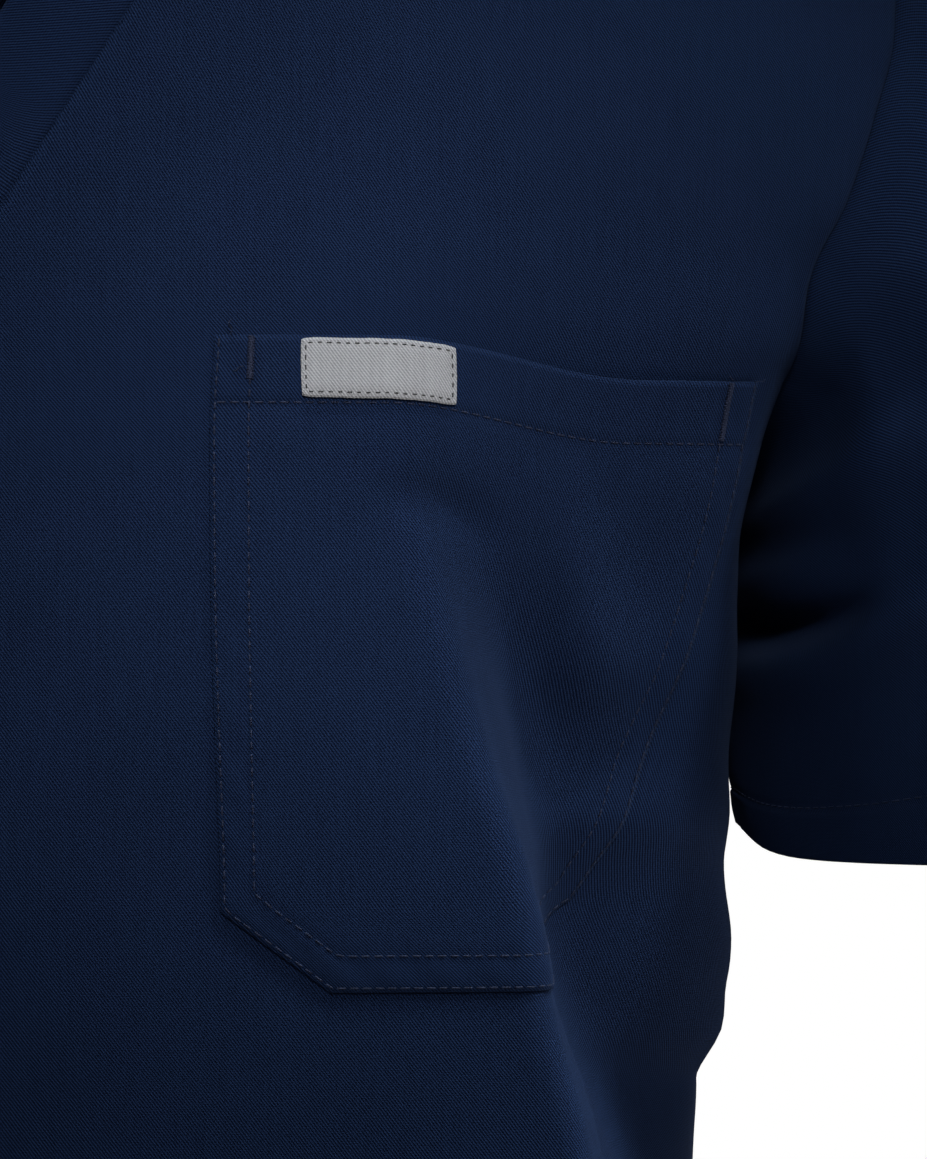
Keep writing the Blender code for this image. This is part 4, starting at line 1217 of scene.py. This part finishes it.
def add_floor():
    """A pale disc that the trousers' hems just miss. It fades out towards its edge."""
    radius, gap, corners = 2.6, 0.004, 96
    angle = np.linspace(0, 2 * np.pi, corners + 1)[:-1]
    mesh = bpy.data.meshes.new("floor")
    height = solid_box[0].z - gap
    points = [(radius * np.cos(a), radius * np.sin(a), height) for a in angle]
    mesh.from_pydata(points, [], [tuple(range(corners))])
    material, tree, shader = new_material("pale_floor", 0.9)
    socket(shader, "Base Color", (0.80, 0.80, 0.80, 1))
    coordinates = tree.nodes.new("ShaderNodeTexCoord")
    distance = tree.nodes.new("ShaderNodeVectorMath")
    distance.operation = "LENGTH"
    tree.links.new(coordinates.outputs["Object"], distance.inputs[0])
    fade = tree.nodes.new("ShaderNodeMapRange")
    fade.interpolation_type = "SMOOTHSTEP"
    tree.links.new(distance.outputs["Value"], fade.inputs["Value"])
    for name, value in (("From Min", 1.5), ("From Max", radius - 0.05), ("To Min", 1.0), ("To Max", 0.0)):
        socket(fade, name, value)
    tree.links.new(fade.outputs[0], shader.inputs["Alpha"])
    socket(shader, "Emission Color", (1, 1, 1, 1))
    seen = tree.nodes.new("ShaderNodeLightPath").outputs["Is Camera Ray"]
    glow = maths(tree, "MULTIPLY", seen, 0.50)  # pale to the camera, and no lamp to the cloth
    tree.links.new(glow, shader.inputs["Emission Strength"])
    mesh.materials.append(material)
    floor = add_object("floor", mesh)


def add_light(name, light, place, aim, power):
    light.energy = power
    lamp = add_object(name, light)
    lamp.location = place
    lamp.rotation_euler = (Vector(aim) - Vector(place)).to_track_quat("-Z", "Y").to_euler()
    lamp.visible_camera = False


def add_softbox(name, place, aim, size, power):
    light = bpy.data.lights.new(name, "AREA")
    light.size = size
    add_light(name, light, place, aim, power)


COOL = (0.86, 1.0, 1.05)


def add_spot(name, place, aim, cone, power, colour=(1, 1, 1)):
    light = bpy.data.lights.new(name, "SPOT")
    light.color = colour
    light.spot_size = np.radians(cone)
    light.spot_blend = 1.0
    light.shadow_soft_size = 0.10
    add_light(name, light, place, aim, power)


def add_world():
    """White to the camera, and dim as a light."""
    world = bpy.data.worlds.new("studio")
    world.use_nodes = True
    tree = world.node_tree
    seen, lighting = tree.nodes["Background"], tree.nodes.new("ShaderNodeBackground")
    socket(seen, "Color", (1, 1, 1, 1))
    socket(seen, "Strength", 1.0)
    socket(lighting, "Color", (0.93, 0.97, 1.0, 1))
    socket(lighting, "Strength", 0.06)
    path, mix = tree.nodes.new("ShaderNodeLightPath"), tree.nodes.new("ShaderNodeMixShader")
    tree.links.new(path.outputs["Is Camera Ray"], mix.inputs[0])
    tree.links.new(lighting.outputs[0], mix.inputs[1])
    tree.links.new(seen.outputs[0], mix.inputs[2])
    tree.links.new(mix.outputs[0], tree.nodes["World Output"].inputs[0])
    bpy.context.scene.world = world


add_floor()
add_world()
# The chest: light from the front, the upper right and above, that leaves the wearer's side in shade
add_spot("key", (0.25, -1.20, 0.30), (0.10, -0.15, -0.22), 18, 45)
add_spot("key_right", (0.60, -1.10, 0.30), (0.15, -0.15, -0.245), 9, 9)
add_spot("edge", (1.00, -0.30, 0.30), (0.15, -0.15, -0.42), 13, 51, COOL)
add_spot("top", (1.01, -0.41, 1.76), (0.12, -0.15, -0.50), 8, 150, COOL)
add_spot("top_left", (-0.10, -0.30, 0.65), (0.12, -0.15, -0.42), 15, 21, COOL)
add_spot("left", (-0.60, -0.60, 0.50), (0.10, -0.15, -0.36), 16, 10, COOL)
add_softbox("side", (1.00, 0.0, -0.70), (0.12, -0.12, -0.27), 0.4, 1.8)
# The rest of the set, with little of it on the chest
add_spot("right_half", (-0.90, -1.60, 0.20), (-0.20, -0.10, -0.38), 14, 100)
add_spot("waist", (-0.50, -1.80, -0.30), (-0.02, -0.15, -0.68), 14, 100)
add_spot("legs", (-0.70, -2.20, -0.80), (0.0, 0.0, -1.14), 22, 190)
add_softbox("rim", (0.6, 2.6, 1.6), (0, 0, -0.5), 1.8, 150)
add_softbox("back_right", (-2.2, 1.2, 0.4), (0, 0, -0.6), 1.0, 50)

# The camera looks straight at the pocket, level, with a long lens
camera = add_object("camera", bpy.data.cameras.new("camera"))
camera.data.lens = 168
camera.data.sensor_width = 36
camera.data.clip_start = 0.05
camera.location = (0.1152, -1.35, -0.289)
camera.rotation_euler = (np.pi / 2, 0, 0)
bpy.context.scene.camera = camera
bpy.context.scene.view_settings.view_transform = "Standard"
